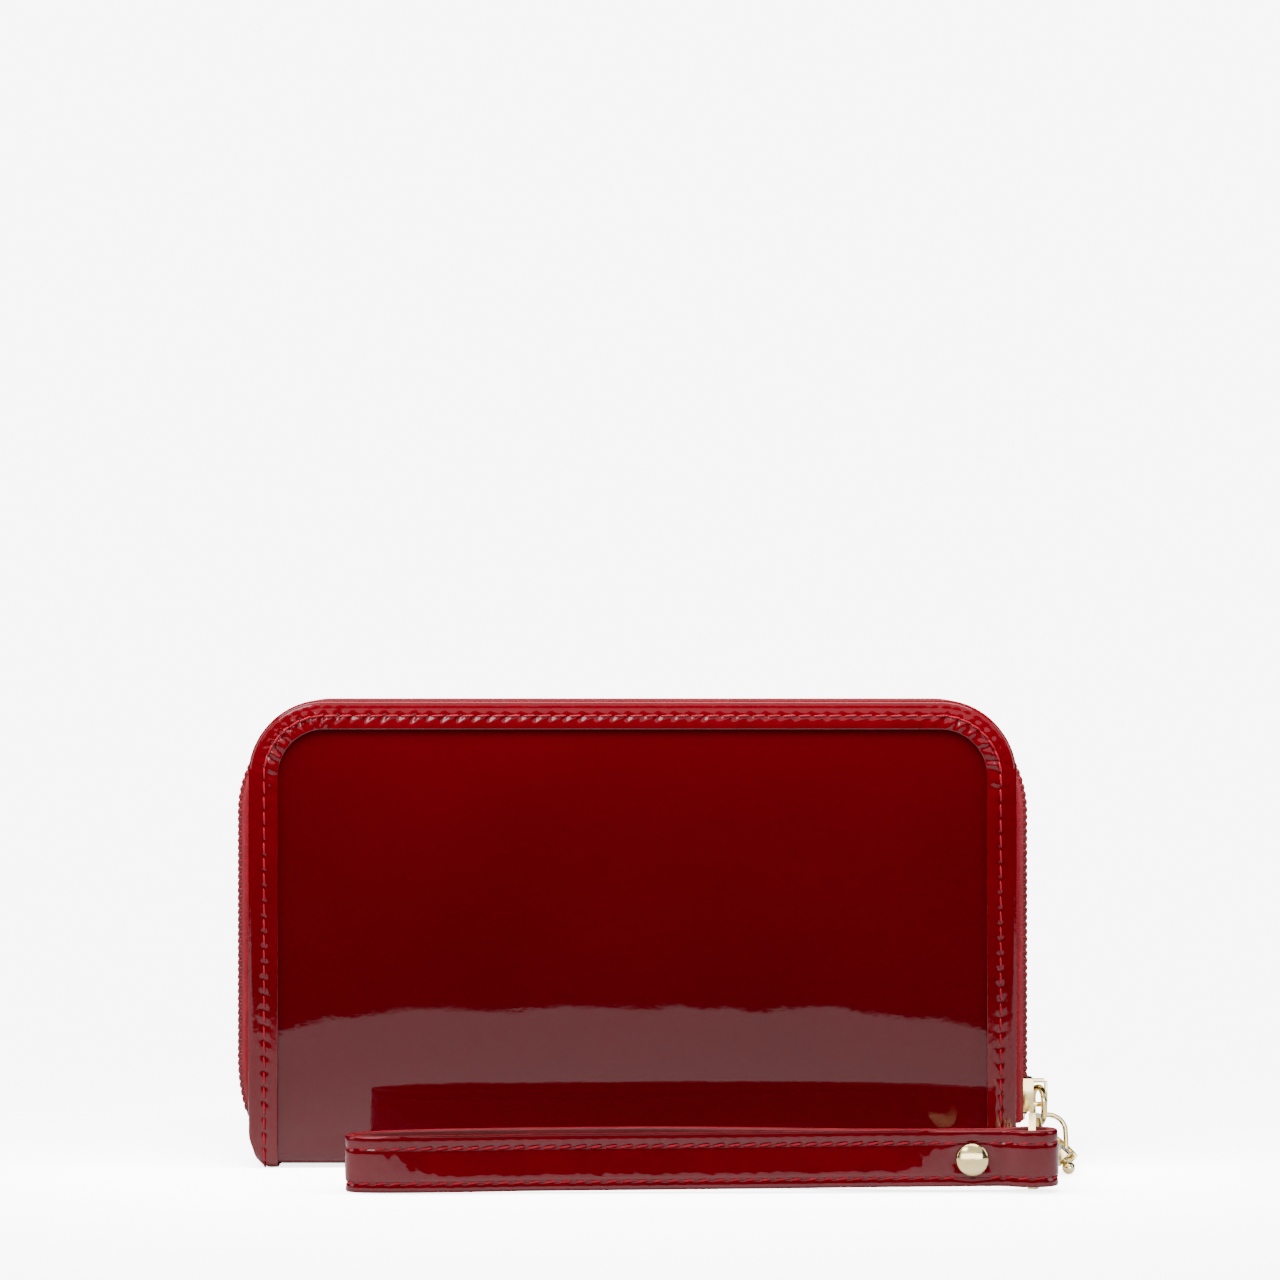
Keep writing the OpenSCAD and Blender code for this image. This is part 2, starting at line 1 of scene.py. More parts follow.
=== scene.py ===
"""Zip around wallet with a wristlet strap: the visible leather, cloth, thread, zip and hardware.

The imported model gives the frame. Sizes here are in millimetres in the same axes: +X to the
slider's side, +Y to the rear cover, +Z up, with the origin under the middle of the spine.
"""
import json
import logging
import math
from dataclasses import dataclass
from enum import Enum
from typing import Callable, Optional, Sequence

import bpy
import numpy as np
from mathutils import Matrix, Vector

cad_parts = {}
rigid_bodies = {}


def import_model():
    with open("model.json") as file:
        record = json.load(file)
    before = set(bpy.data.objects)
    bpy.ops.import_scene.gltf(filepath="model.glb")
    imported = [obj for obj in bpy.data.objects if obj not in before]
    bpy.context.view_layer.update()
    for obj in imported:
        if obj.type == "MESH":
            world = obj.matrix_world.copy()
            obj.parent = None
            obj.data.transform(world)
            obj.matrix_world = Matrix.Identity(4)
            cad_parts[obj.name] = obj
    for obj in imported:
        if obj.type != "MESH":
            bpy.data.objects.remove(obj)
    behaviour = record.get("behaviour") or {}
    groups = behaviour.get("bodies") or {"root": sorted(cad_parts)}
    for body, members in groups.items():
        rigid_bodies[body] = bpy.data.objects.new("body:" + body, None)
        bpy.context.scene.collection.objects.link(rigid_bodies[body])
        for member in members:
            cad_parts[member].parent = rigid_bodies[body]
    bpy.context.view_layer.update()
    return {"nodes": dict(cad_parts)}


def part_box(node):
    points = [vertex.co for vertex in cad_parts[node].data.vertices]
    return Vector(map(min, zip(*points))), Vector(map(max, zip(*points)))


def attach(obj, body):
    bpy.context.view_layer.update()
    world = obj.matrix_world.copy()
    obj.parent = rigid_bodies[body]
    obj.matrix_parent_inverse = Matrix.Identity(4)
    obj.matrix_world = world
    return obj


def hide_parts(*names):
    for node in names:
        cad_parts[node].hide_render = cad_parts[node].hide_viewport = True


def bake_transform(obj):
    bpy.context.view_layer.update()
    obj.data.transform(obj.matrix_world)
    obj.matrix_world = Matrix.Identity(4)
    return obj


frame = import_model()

LOG = logging.getLogger("wallet")
MM = 0.001
TAU = 2 * math.pi
Array = np.ndarray
Object = bpy.types.Object


# ---- Mesh tools ----


def only(obj: Object) -> None:
    """Selects obj alone and makes it active."""
    bpy.ops.object.select_all(action="DESELECT")
    obj.select_set(True)
    bpy.context.view_layer.objects.active = obj


def edit(obj: Object, *steps: Callable[[], object]) -> None:
    """Runs edit mode operators on the whole mesh of obj.

    Args:
        obj: The piece to edit.
        steps: Calls that each run one operator.
    """
    only(obj)
    bpy.ops.object.mode_set(mode="EDIT")
    for step in steps:
        bpy.ops.mesh.select_all(action="SELECT")
        step()
    bpy.ops.object.mode_set(mode="OBJECT")


def weld() -> None:
    """Merges points that lie together."""
    bpy.ops.mesh.remove_doubles(threshold=2e-6)


def cap_ends() -> None:
    """Closes every open edge loop with a face."""
    bpy.ops.mesh.select_all(action="DESELECT")
    bpy.ops.mesh.select_non_manifold(extend=False)
    bpy.ops.mesh.edge_face_add()


def outward() -> None:
    """Turns all normals outwards."""
    bpy.ops.mesh.normals_make_consistent(inside=False)


def grid(name: str, nu: int, nv: int, place: Callable[[Array, Array], Array],
         flat: tuple[float, float] = (1.0, 1.0), caps: bool = False) -> Object:
    """Adds a grid and lays its points with place.

    Args:
        name: The piece's name.
        nu: Faces along u.
        nv: Faces along v.
        place: Gives the points in millimetres for u and v from 0 to 1.
        flat: The real size of the grid along u and v, in millimetres, for its UV map.
        caps: Whether open ends are closed.

    Returns:
        The new piece, welded, with its normals outwards.
    """
    bpy.ops.object.select_all(action="DESELECT")
    bpy.ops.mesh.primitive_grid_add(x_subdivisions=nu, y_subdivisions=nv, size=1)
    obj = bpy.context.object
    obj.name = obj.data.name = name
    mesh = obj.data
    co = np.empty(len(mesh.vertices) * 3, np.float32)
    mesh.vertices.foreach_get("co", co)
    co = co.reshape(-1, 3)
    u, v = co[:, 0].astype(float) + 0.5, co[:, 1].astype(float) + 0.5
    mesh.vertices.foreach_set("co", (place(u, v) * MM).astype(np.float32).ravel())
    index = np.empty(len(mesh.loops), np.int32)
    mesh.loops.foreach_get("vertex_index", index)
    uv = np.stack([u[index] * flat[0], v[index] * flat[1]], axis=1) * MM
    mesh.uv_layers.active.data.foreach_set("uv", uv.astype(np.float32).ravel())
    steps = [weld, cap_ends, outward] if caps else [weld, outward]
    edit(obj, *steps)
    return obj


def apply(obj: Object, kind: str, **settings: object) -> None:
    """Adds a modifier with its settings and applies it."""
    only(obj)
    modifier = obj.modifiers.new(kind.title(), kind)
    for key, value in settings.items():
        setattr(modifier, key, value)
    bpy.ops.object.modifier_apply(modifier=modifier.name)


def smooth(obj: Object, degrees: float = 180.0) -> None:
    """Shades obj smooth, with edges sharper than degrees left crisp."""
    only(obj)
    bpy.ops.object.shade_smooth_by_angle(angle=math.radians(degrees))


def scatter(name: str, base: Object, origins: Array, axes: Array) -> Object:
    """Copies a small base piece to many places, as one mesh.

    Args:
        name: The new piece's name.
        base: The piece to repeat, which is removed.
        origins: One place a copy, (n, 3), in millimetres.
        axes: The base's X, Y and Z directions at each place, (n, 3, 3), as rows.

    Returns:
        The joined copies.
    """
    mesh = base.data
    co = np.empty(len(mesh.vertices) * 3)
    mesh.vertices.foreach_get("co", co)
    co = co.reshape(-1, 3)
    faces = [tuple(p.vertices) for p in mesh.polygons]
    points = np.einsum("vk,nkc->nvc", co, axes) + origins[:, None, :] * MM
    count = len(co)
    joined = bpy.data.meshes.new(name)
    joined.from_pydata(points.reshape(-1, 3).tolist(), [],
                       [tuple(i + k * count for i in f) for k in range(len(origins)) for f in faces])
    obj = bpy.data.objects.new(name, joined)
    bpy.context.scene.collection.objects.link(obj)
    bpy.data.objects.remove(base)
    edit(obj, outward)
    smooth(obj)
    return obj


def bead(size: tuple[float, float, float], segments: int = 8, rings: int = 6,
         square: float = 1.0, dive: float = 0.0) -> Object:
    """Makes a small rounded base piece for scatter.

    Args:
        size: Length, width and height in millimetres.
        segments: Faces round it.
        rings: Faces from end to end.
        square: Below 1, the section and ends are squarer.
        dive: How far the two ends bend down, in millimetres.

    Returns:
        The bead, lying along X.
    """
    bpy.ops.object.select_all(action="DESELECT")
    bpy.ops.mesh.primitive_uv_sphere_add(segments=segments, ring_count=rings, radius=1)
    obj = bpy.context.object
    for vertex in obj.data.vertices:
        x, y, z = vertex.co.z, vertex.co.x, vertex.co.y
        x, y, z = (math.copysign(abs(c) ** square, c) for c in (x, y, z))
        vertex.co = Vector((x * size[0] / 2, y * size[1] / 2,
                            z * size[2] / 2 - dive * x ** 4)) * MM
    return obj


def ripple(s: Array, period: float, seed: int, terms: int = 5) -> Array:
    """A smooth irregular wave of about that period, from -1 to 1, the same each run."""
    rng = np.random.default_rng(seed)
    total = np.zeros_like(s)
    for _ in range(terms):
        total += np.sin(TAU * s / (period * rng.uniform(0.7, 1.5)) + rng.uniform(0, TAU))
    return total / terms


def bump_at(x: Array, centre: float, width: float) -> Array:
    """A smooth hump of height 1 about centre."""
    return np.exp(-(((x - centre) / width) ** 2))


def frames_of(path: Callable[[Array, float, float], Array], s: Array, offset: float,
              lift: float, slant: float = 0.0) -> tuple[Array, Array]:
    """Places and directions along a path, for scatter.

    Args:
        path: Gives points for distance along, distance across and height above.
        s: Distances along.
        offset: Distance across.
        lift: Height above the surface.
        slant: Turn about the surface's normal, in degrees.

    Returns:
        The places and the axes.
    """
    step = 0.2
    here = path(s, offset, lift)
    along = path(s + step, offset, lift) - path(s - step, offset, lift)
    up = path(s, offset, lift + step) - path(s, offset, lift - step)
    along /= np.linalg.norm(along, axis=1, keepdims=True)
    across = np.cross(up, along)
    across /= np.linalg.norm(across, axis=1, keepdims=True)
    up = np.cross(along, across)
    c, t = math.cos(math.radians(slant)), math.sin(math.radians(slant))
    return here, np.stack([c * along + t * across, c * across - t * along, up], axis=1)


# ---- Finishes ----


def linear(hex_colour: str) -> tuple[float, float, float, float]:
    """An sRGB hex colour as linear red, green, blue and alpha."""
    values = [int(hex_colour[i:i + 2], 16) / 255 for i in (1, 3, 5)]
    return tuple(c / 12.92 if c <= 0.04045 else ((c + 0.055) / 1.055) ** 2.4
                 for c in values) + (1.0,)


def add_node(tree: bpy.types.NodeTree, kind: str, links: Optional[dict] = None,
             **settings: object) -> bpy.types.Node:
    """Adds one shader node.

    Args:
        tree: The material's node tree.
        kind: The node's type name without its ShaderNode start.
        links: Input name or number to the output socket that feeds it.
        settings: Attributes of the node, or input values where the name is an input's.

    Returns:
        The new node.
    """
    new = tree.nodes.new("ShaderNode" + kind)
    for key, value in settings.items():
        if hasattr(new, key):
            setattr(new, key, value)
        else:
            new.inputs[key.replace("_", " ")].default_value = value
    for key, socket in (links or {}).items():
        tree.links.new(socket, new.inputs[key])
    return new


class Relief(Enum):
    """A surface pattern that a finish can carry."""
    PEEL = "soft waves in a film"
    GRAIN = "leather cells"
    WEAVE = "crossed threads on the UV map"
    TWIST = "twisted plies"
    POLISH = "fine marks from polishing"


@dataclass(frozen=True)
class Mark:
    """One relief pattern: its kind, its real size and its height, in millimetres."""
    relief: Relief
    size: float
    height: float


@dataclass(frozen=True)
class Finish:
    """One finish: what the real one is and how its surface was made.

    The second colour shows in soft patches of patch millimetres. Film is a gloss coat.
    """
    name: str
    slot: str
    colour: str
    second: str
    roughness: float
    patch: float = 8.0
    metallic: float = 0.0
    specular: float = 0.5
    film: float = 0.0
    film_roughness: float = 0.03
    sheen: float = 0.0
    marks: tuple[Mark, ...] = ()
    film_marks: tuple[Mark, ...] = ()
    rough_spread: float = 0.0

    def pattern(self, tree: bpy.types.NodeTree, mark: Mark) -> bpy.types.NodeSocket:
        """The height pattern of one mark, as a socket."""
        spot = add_node(tree, "TexCoord")
        place = spot.outputs["Object"]
        scale = 1 / (mark.size * MM)
        if mark.relief is Relief.GRAIN:
            cells = add_node(tree, "TexVoronoi", {"Vector": place}, feature="F1", Scale=scale,
                             Randomness=1.0)
            return cells.outputs["Distance"]
        if mark.relief is Relief.WEAVE:
            place = spot.outputs["UV"]
            # One period of the wave node is TAU / 20 of its own unit
            warp = add_node(tree, "TexWave", {"Vector": place}, bands_direction="X",
                            Scale=scale * TAU / 20)
            weft = add_node(tree, "TexWave", {"Vector": place}, bands_direction="Y",
                            Scale=scale * TAU / 20)
            both = add_node(tree, "Math", {0: warp.outputs["Fac"], 1: weft.outputs["Fac"]},
                            operation="MAXIMUM")
            return both.outputs[0]
        if mark.relief is Relief.TWIST:
            wave = add_node(tree, "TexWave", {"Vector": place}, bands_direction="DIAGONAL",
                            Scale=scale * TAU / 20)
            return wave.outputs["Fac"]
        if mark.relief is Relief.POLISH:
            stretch = add_node(tree, "Mapping", {"Vector": place}, Scale=(1, 1, 6))
            place = stretch.outputs["Vector"]
        noise = add_node(tree, "TexNoise", {"Vector": place}, Scale=scale, Detail=3.0)
        return noise.outputs["Fac"]

    def relief(self, tree: bpy.types.NodeTree, marks: Sequence[Mark]) -> Optional[bpy.types.NodeSocket]:
        """The marks' bumps one on another, as a normal socket."""
        normal = None
        for mark in marks:
            links = {"Height": self.pattern(tree, mark)}
            if normal:
                links["Normal"] = normal
            normal = add_node(tree, "Bump", links, Distance=mark.height * MM).outputs["Normal"]
        return normal

    def make(self) -> bpy.types.Material:
        """Builds the material, or returns the one already built."""
        if self.name in bpy.data.materials:
            return bpy.data.materials[self.name]
        material = bpy.data.materials.new(self.name)
        material.use_nodes = True
        tree = material.node_tree
        shader = tree.nodes["Principled BSDF"]
        spot = add_node(tree, "TexCoord")
        cloud = add_node(tree, "TexNoise", {"Vector": spot.outputs["Object"]},
                         Scale=1 / (self.patch * MM), Detail=4.0)
        blend = add_node(tree, "ValToRGB", {"Fac": cloud.outputs["Fac"]})
        blend.color_ramp.elements[0].position = 0.35
        blend.color_ramp.elements[1].position = 0.65
        blend.color_ramp.elements[0].color = linear(self.colour)
        blend.color_ramp.elements[1].color = linear(self.second)
        tree.links.new(blend.outputs["Color"], shader.inputs["Base Color"])
        shader.inputs["Metallic"].default_value = self.metallic
        shader.inputs["Specular IOR Level"].default_value = self.specular
        shader.inputs["Coat Weight"].default_value = self.film
        shader.inputs["Coat Roughness"].default_value = self.film_roughness
        shader.inputs["Sheen Weight"].default_value = self.sheen
        shader.inputs["Roughness"].default_value = self.roughness
        if self.rough_spread:
            wear = add_node(tree, "MapRange", {"Value": cloud.outputs["Fac"]},
                            From_Min=0.3, From_Max=0.7, To_Min=self.roughness - self.rough_spread,
                            To_Max=self.roughness + self.rough_spread)
            tree.links.new(wear.outputs["Result"], shader.inputs["Roughness"])
        for marks, socket in ((self.marks, "Normal"), (self.film_marks, "Coat Normal")):
            normal = self.relief(tree, marks)
            if normal:
                tree.links.new(normal, shader.inputs[socket])
        return material


# Split leather under a poured gloss film: a deep red with mirror-like, slightly wavy gloss
PATENT = Finish("patent_leather_poured_film", "patent_leather", "#54000B", "#500009", 0.55,
                patch=40, specular=0.0, film=1.0, film_roughness=0.02,
                marks=(Mark(Relief.GRAIN, 0.9, 0.02),),
                film_marks=(Mark(Relief.PEEL, 5.0, 0.005), Mark(Relief.PEEL, 1.1, 0.003)))
# The same leather pulled round the edges: its film is crinkled by the turning and the needle
PATENT_TURNED = Finish("patent_leather_turned_edge", "patent_border", "#64000E", "#5C000B", 0.5,
                       patch=12, specular=0.0, film=1.0, film_roughness=0.035,
                       marks=(Mark(Relief.GRAIN, 0.9, 0.03),),
                       film_marks=(Mark(Relief.PEEL, 1.6, 0.02), Mark(Relief.PEEL, 0.6, 0.006)))
# The strap's gloss leather, folded to a loop and drawn in by two rows of stitches
PATENT_STRAP = Finish("patent_leather_strap", "patent_border", "#680010", "#60000D", 0.5,
                      patch=14, specular=0.0, film=1.0, film_roughness=0.03,
                      marks=(Mark(Relief.GRAIN, 0.9, 0.03),),
                      film_marks=(Mark(Relief.PEEL, 2.2, 0.012),))
# Finished grain leather of the pockets: matt red with small cells
POCKET = Finish("grain_leather_pocket", "pocket_leather", "#6A0A10", "#5A060C", 0.48,
                patch=14, marks=(Mark(Relief.GRAIN, 1.1, 0.06), Mark(Relief.PEEL, 0.4, 0.02)))
# Twill lining cloth: threads of 0.5 mm, drawn at 0.8 so that they show, with a soft sheen
LINING = Finish("twill_lining_cloth", "lining", "#5E2A30", "#542329", 0.85, sheen=0.25,
                patch=20, marks=(Mark(Relief.WEAVE, 0.8, 0.08),))
# Pressed fibre board, dull and speckled
BOARD = Finish("pressed_fibre_board", "board", "#7C6C58", "#8E7E68", 0.9, patch=1.5,
               marks=(Mark(Relief.PEEL, 0.7, 0.08),))
# Bonded polyester thread: bright, slightly glossy, with its twist showing
THREAD = Finish("bonded_polyester_thread", "thread", "#8E0A1E", "#A01428", 0.5, patch=3,
                specular=0.25, marks=(Mark(Relief.TWIST, 0.35, 0.04),))
# Woven polyester zip tape: cords of 0.6 mm along it, lighter than the leather
TAPE = Finish("woven_polyester_tape", "zip_tape", "#961626", "#861220", 0.85, sheen=0.02,
              specular=0.2, patch=6, marks=(Mark(Relief.WEAVE, 0.6, 0.09),))
# Moulded nylon monofilament: clear-edged little highlights
NYLON = Finish("nylon_monofilament_coil", "zip_coil", "#7C0C1A", "#6A0814", 0.3, patch=4,
               marks=(Mark(Relief.PEEL, 0.5, 0.02),))
# Zinc die cast, polished and plated in pale gold: sharp reflections, a little wear
GOLD = Finish("zinc_cast_pale_gold_plate", "gold_metal", "#F4E1A8", "#E8CF8A", 0.14,
              patch=3, metallic=1.0, rough_spread=0.05,
              marks=(Mark(Relief.POLISH, 0.8, 0.006),))
# Drawn spring wire, bare and darker
STEEL = Finish("drawn_spring_steel", "spring_steel", "#8E8A86", "#7C7874", 0.3,
               patch=2, metallic=1.0, rough_spread=0.06, marks=(Mark(Relief.POLISH, 0.5, 0.01),))
# Inked and sealed cut edge of the strap's plies
EDGE_PAINT = Finish("inked_cut_edge", "patent_border", "#8E1A26", "#7C121C", 0.4, patch=5,
                    marks=(Mark(Relief.PEEL, 0.6, 0.05),))


@dataclass
class Place:
    """Where a piece belongs: its body, or the two bodies either side of the fold."""
    body: str
    to: Optional[str] = None
    start: tuple[float, float, float] = (0, 6.8 * MM, 0)
    end: tuple[float, float, float] = (0, 9.67 * MM, 0.41 * MM)


def dress(obj: Object, finish: Finish, place: Place, nodes: Sequence[str] = ()) -> Object:
    """Gives a finished piece its material and its body, or bakes its transform in if it spans the fold, and
    hides the CAD nodes it stands for.

    Args:
        obj: The piece, with its final mesh.
        finish: The main finish.
        place: The body it moves with; a piece across the fold joins neither body.
        nodes: The CAD nodes that it replaces.

    Returns:
        The same piece.
    """
    if not obj.data.materials:
        obj.data.materials.append(finish.make())
    if place.to:
        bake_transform(obj)
    else:
        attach(obj, place.body)
    if nodes:
        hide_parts(*nodes)
    LOG.info("%s: %d faces", obj.name, len(obj.data.polygons))
    return obj


def refined(node: str, name: str, finish: Finish, body: str, bevel: float,
            angle: float = 30.0) -> Object:
    """Makes a hard CAD node's finished twin: the same shape with its edges eased.

    Args:
        node: The CAD node.
        name: The new piece's name.
        finish: Its finish.
        body: Its body.
        bevel: The width of the eased edges, in millimetres.
        angle: Edges sharper than this are eased, in degrees.

    Returns:
        The new piece.
    """
    mesh = frame["nodes"][node].data.copy()
    obj = bpy.data.objects.new(name, mesh)
    bpy.context.scene.collection.objects.link(obj)
    mesh.materials.clear()
    edit(obj, weld, lambda: bpy.ops.mesh.dissolve_limited(angle_limit=math.radians(0.4)), outward)
    apply(obj, "BEVEL", width=bevel * MM, segments=3, limit_method="ANGLE",
          angle_limit=math.radians(angle), miter_outer="MITER_ARC")
    smooth(obj, 40)
    return dress(obj, finish, Place(body), [node])


# ---- Outer leather ----


@dataclass
class Outside:
    """The covers and spine: gloss leather panels inside a stitched and turned border.

    The leather is laid out flat: x across, and w along from the middle of the spine, to the
    front where it is below 0. Depth is measured in from the outer face.
    """
    half_w: float = 90.25
    cover_h: float = 110.0
    half_t: float = 12.7
    corner_r: float = 18.0
    foot_r: float = 5.0
    fold_r: float = 3.2
    leather_t: float = 0.9
    row: float = 3.8
    pitch: float = 3.6
    crown: float = 1.1

    @property
    def half_len(self) -> float:
        """Flat length from the middle of the spine to the top edge."""
        return self.half_t - self.fold_r + self.fold_r * math.pi / 2 + self.cover_h - self.fold_r

    def lay(self, x: Array, w: Array, depth: Array) -> Array:
        """Folds flat points round the wallet.

        Args:
            x: Across.
            w: Along, from the middle of the spine.
            depth: In from the outer face.

        Returns:
            The points, (n, 3).
        """
        x, w, depth = np.broadcast_arrays(*(np.asarray(a, float) for a in (x, w, depth)))
        out = np.clip(np.abs(x) - (self.half_w - self.foot_r), 0, self.foot_r)
        sin_a = out / self.foot_r
        cos_a = np.sqrt(1 - sin_a ** 2)
        lift = self.foot_r * (1 - cos_a)
        flat_y = self.half_t - self.fold_r
        a, side = np.abs(w), np.where(w < 0, -1.0, 1.0)
        turn = np.clip((a - flat_y) / self.fold_r, 0, math.pi / 2)
        rise = np.maximum(a - flat_y - self.fold_r * math.pi / 2, 0)
        k = (self.cover_h - lift - self.fold_r) / (self.cover_h - self.fold_r)
        y = np.minimum(a, flat_y) + self.fold_r * np.sin(turn)
        z = lift + self.fold_r * (1 - np.cos(turn)) + rise * k
        nx = np.cos(turn) * np.sign(x) * sin_a
        ny, nz = np.sin(turn), -np.cos(turn) * cos_a
        return np.stack([x - nx * depth, side * (y - ny * depth), z - nz * depth], axis=-1)

    def height_of(self, w: Array) -> Array:
        """Height above the floor of flat distance w on a cover, below 0 on the spine."""
        return np.abs(w) - (self.half_t - self.fold_r) - self.fold_r * (math.pi / 2 - 1)

    def outline(self, s: Array) -> tuple[Array, Array, Array, Array]:
        """The flat outline at distance s along it.

        Args:
            s: Distance from the middle of the right side, towards the rear cover.

        Returns:
            x, w and the inward direction's x and w.
        """
        hw, hl, r = self.half_w, self.half_len, self.corner_r
        side, top, quarter = hl - r, 2 * (hw - r), r * math.pi / 2
        lengths = [side, quarter, top, quarter, 2 * side, quarter, top, quarter, side]
        s = np.mod(s, sum(lengths))
        x, w, nx, nw = (np.zeros_like(s) for _ in range(4))
        begin = 0.0
        # Each leg: its start, its heading and the way in
        legs = [(hw, 0, 0, 1), None, (hw - r, hl, -1, 0), None, (-hw, side, 0, -1), None,
                (r - hw, -hl, 1, 0), None, (hw, -side, 0, 1)]
        centres = {1: (hw - r, side, 0), 3: (r - hw, side, 90), 5: (r - hw, -side, 180),
                   7: (hw - r, -side, 270)}
        for i, length in enumerate(lengths):
            on = (s >= begin) & (s < begin + length)
            t = s[on] - begin
            if i in centres:
                cx, cw, start = centres[i]
                a = math.radians(start) + t / r
                x[on], w[on] = cx + r * np.cos(a), cw + r * np.sin(a)
                nx[on], nw[on] = -np.cos(a), -np.sin(a)
            else:
                x0, w0, dx, dw = legs[i]
                x[on], w[on] = x0 + dx * t, w0 + dw * t
                nx[on], nw[on] = -dw, dx
            begin += length
        return x, w, nx, nw

    @property
    def perimeter(self) -> float:
        """Length of the flat outline."""
        r = self.corner_r
        return 4 * (self.half_len - r) + 4 * (self.half_w - r) + TAU * r

    def in_corner(self, s: Array) -> Array:
        """How much of a corner s is in, from 0 to 1, with soft ends."""
        x, w, _, _ = self.outline(s)
        u = np.clip((np.abs(x) - (self.half_w - self.corner_r - 9)) / 12, 0, 1)
        v = np.clip((np.abs(w) - (self.half_len - self.corner_r - 9)) / 12, 0, 1)
        return u * v

    def pucker(self, s: Array, d: Array) -> Array:
        """How far stitches and turning draw the border in at s along and d from its edge."""
        step = self.perimeter / round(self.perimeter / self.pitch)
        phase = TAU * s / step
        hole = (0.5 + 0.5 * np.cos(phase)) ** 2
        x, w, _, _ = self.outline(s)
        corner = self.in_corner(s)
        # The top edge is drawn in hard, the sides only lightly
        top = np.clip((np.abs(w) - (self.half_len - self.corner_r)) / 14, 0, 1)
        drawn = 0.3 + 0.7 * top
        left = 0.5 - 0.5 * np.clip(x / 60, -1, 1)
        jitter = 0.6 * ripple(s, 23, 5)
        depth = 0.16 * bump_at(d, self.row, 0.6) * (0.25 + 0.75 * hole)
        # A notch runs in from each stitch, deepest at the top left
        notch = (0.5 + 0.5 * np.cos(phase + jitter + 0.9 * (d - self.row))) ** 2
        notch = notch * (0.85 + 0.6 * ripple(s, 8, 7))
        reach = 0.75 + 0.6 * np.clip((-x - 30) / 40, 0, 1) * top
        depth += drawn * (0.1 + 0.34 * left * top) * notch * bump_at(d, 4.5, reach)
        depth += drawn * 0.1 * (0.5 + 0.5 * np.cos(phase + 1.6 * (self.row - d))) * bump_at(d, 3.2, 0.35)
        # The turned leather gathers into pleats and fine crinkles round the corners
        pleat = np.sin(phase * 0.83 + 1.8 * ripple(s, 8, 11) + 0.7 * (d - 5))
        depth += 0.2 * corner * pleat * bump_at(d, 5.3, 1.2)
        crinkle = ripple(s + 0.9 * d, 2.3, 13) * ripple(d * 3.1 - 0.6 * s, 3.3, 14)
        depth += 0.75 * corner * crinkle * bump_at(d, 4.0, 1.9)
        depth += 0.06 * corner * np.sin(phase * 1.21 + 2) * bump_at(d, 2.2, 0.8)
        # Small creases where the leather folds under at the foot
        z = self.height_of(w)
        foot = bump_at(z, 9, 8) * np.clip(z / 3, 0, 1)
        depth += 0.09 * foot * ripple(s - 1.1 * d, 3.1, 21) * ripple(d * 2.3 + s, 4.1, 22)
        depth += 0.012 * ripple(s + 0.7 * d, 9, 17) * (1 + 2 * corner)
        return depth

    def rim_depth(self, s: Array) -> Array:
        """Depth of the turned edge: one cover deep, and less where the zip tape leaves it."""
        _, w, _, _ = self.outline(s)
        z = self.height_of(w)
        beside_zip = np.clip((z - 8) / 4, 0, 1) * np.clip((86 - z) / 6, 0, 1)
        return 3.0 - 1.2 * beside_zip

    def band(self) -> Object:
        """The border: one closed strip round the covers, over the spine's ends."""
        # Distance in from the edge, depth, share of the rim's depth
        section = [(7, .9, 0), (7.01, .4, 0), (6.99, .1, 0), (6.93, .03, 0), (6.7, 0, 0), (6, -.03, 0),
                   (5.5, -.05, 0), (5, -.04, 0), (4.6, 0, 0), (4.25, .06, 0), (4, .12, 0),
                   (3.8, .17, 0), (3.55, .17, 0), (3.25, .2, 0), (2.85, .31, 0), (2.3, .5, 0),
                   (1.9, .57, 0), (1.4, .62, 0), (.9, .74, 0), (.45, 1, 0), (.18, 1.25, 0),
                   (.08, 1.25, .15), (0, 1.25, .35), (.04, 1.25, .6), (.2, 1.25, .82),
                   (.5, 1.25, .95), (1.1, 1.25, 1), (2.2, 1.25, 1), (2.4, 1.3, 0), (5, 1.1, 0), (7, .9, 0)]
        points = np.array(section, float)
        ring = len(section) - 1
        steps = round(self.perimeter / 0.45)

        def place(u: Array, v: Array) -> Array:
            """Points of the surface at its UV places."""
            k = np.rint(v * ring).astype(int)
            d, depth, share = points[k].T
            s = u * self.perimeter
            top = (k >= 2) & (k <= 21)
            depth = depth + share * (self.rim_depth(s) - 1.25)
            depth = depth + np.where(top, self.pucker(s, d), 0)
            x, w, nx, nw = self.outline(s)
            return self.lay(x + nx * d, w + nw * d, depth)

        return grid("leather_border", steps, ring, place, (self.perimeter, 18))

    def panel_depth(self, x: Array, w: Array) -> Array:
        """Depth of the panel's face: padded to a soft crown and very slightly uneven."""
        z = self.height_of(w)
        up = np.clip(1 - ((z - 55) / 51) ** 2, 0, 1)
        across = np.clip(1 - (np.abs(x) / 84.5) ** 6, 0, 1)
        crown = self.crown * up ** 0.9 * across * (1 - 0.3 * (x / 84) ** 2)
        uneven = 0.022 * ripple(x + 0.3 * w, 38, 23) * ripple(w, 31, 29) + 0.012 * ripple(
            x - 0.6 * w, 13, 31) * ripple(w + 0.2 * x, 11, 37)
        sag = 0.25 * np.clip(1 - (np.abs(w) / 8.5) ** 2, 0, 1) * np.clip(1 - (x / 80) ** 8, 0, 1)
        return self.leather_t - crown - sag + uneven * np.clip(across * 3, 0, 1)

    def panel(self) -> Object:
        """The panel of front, spine and rear, as one skin under the border."""
        inset = 3.0
        hw, hl, r = self.half_w - inset, self.half_len - inset, self.corner_r - inset

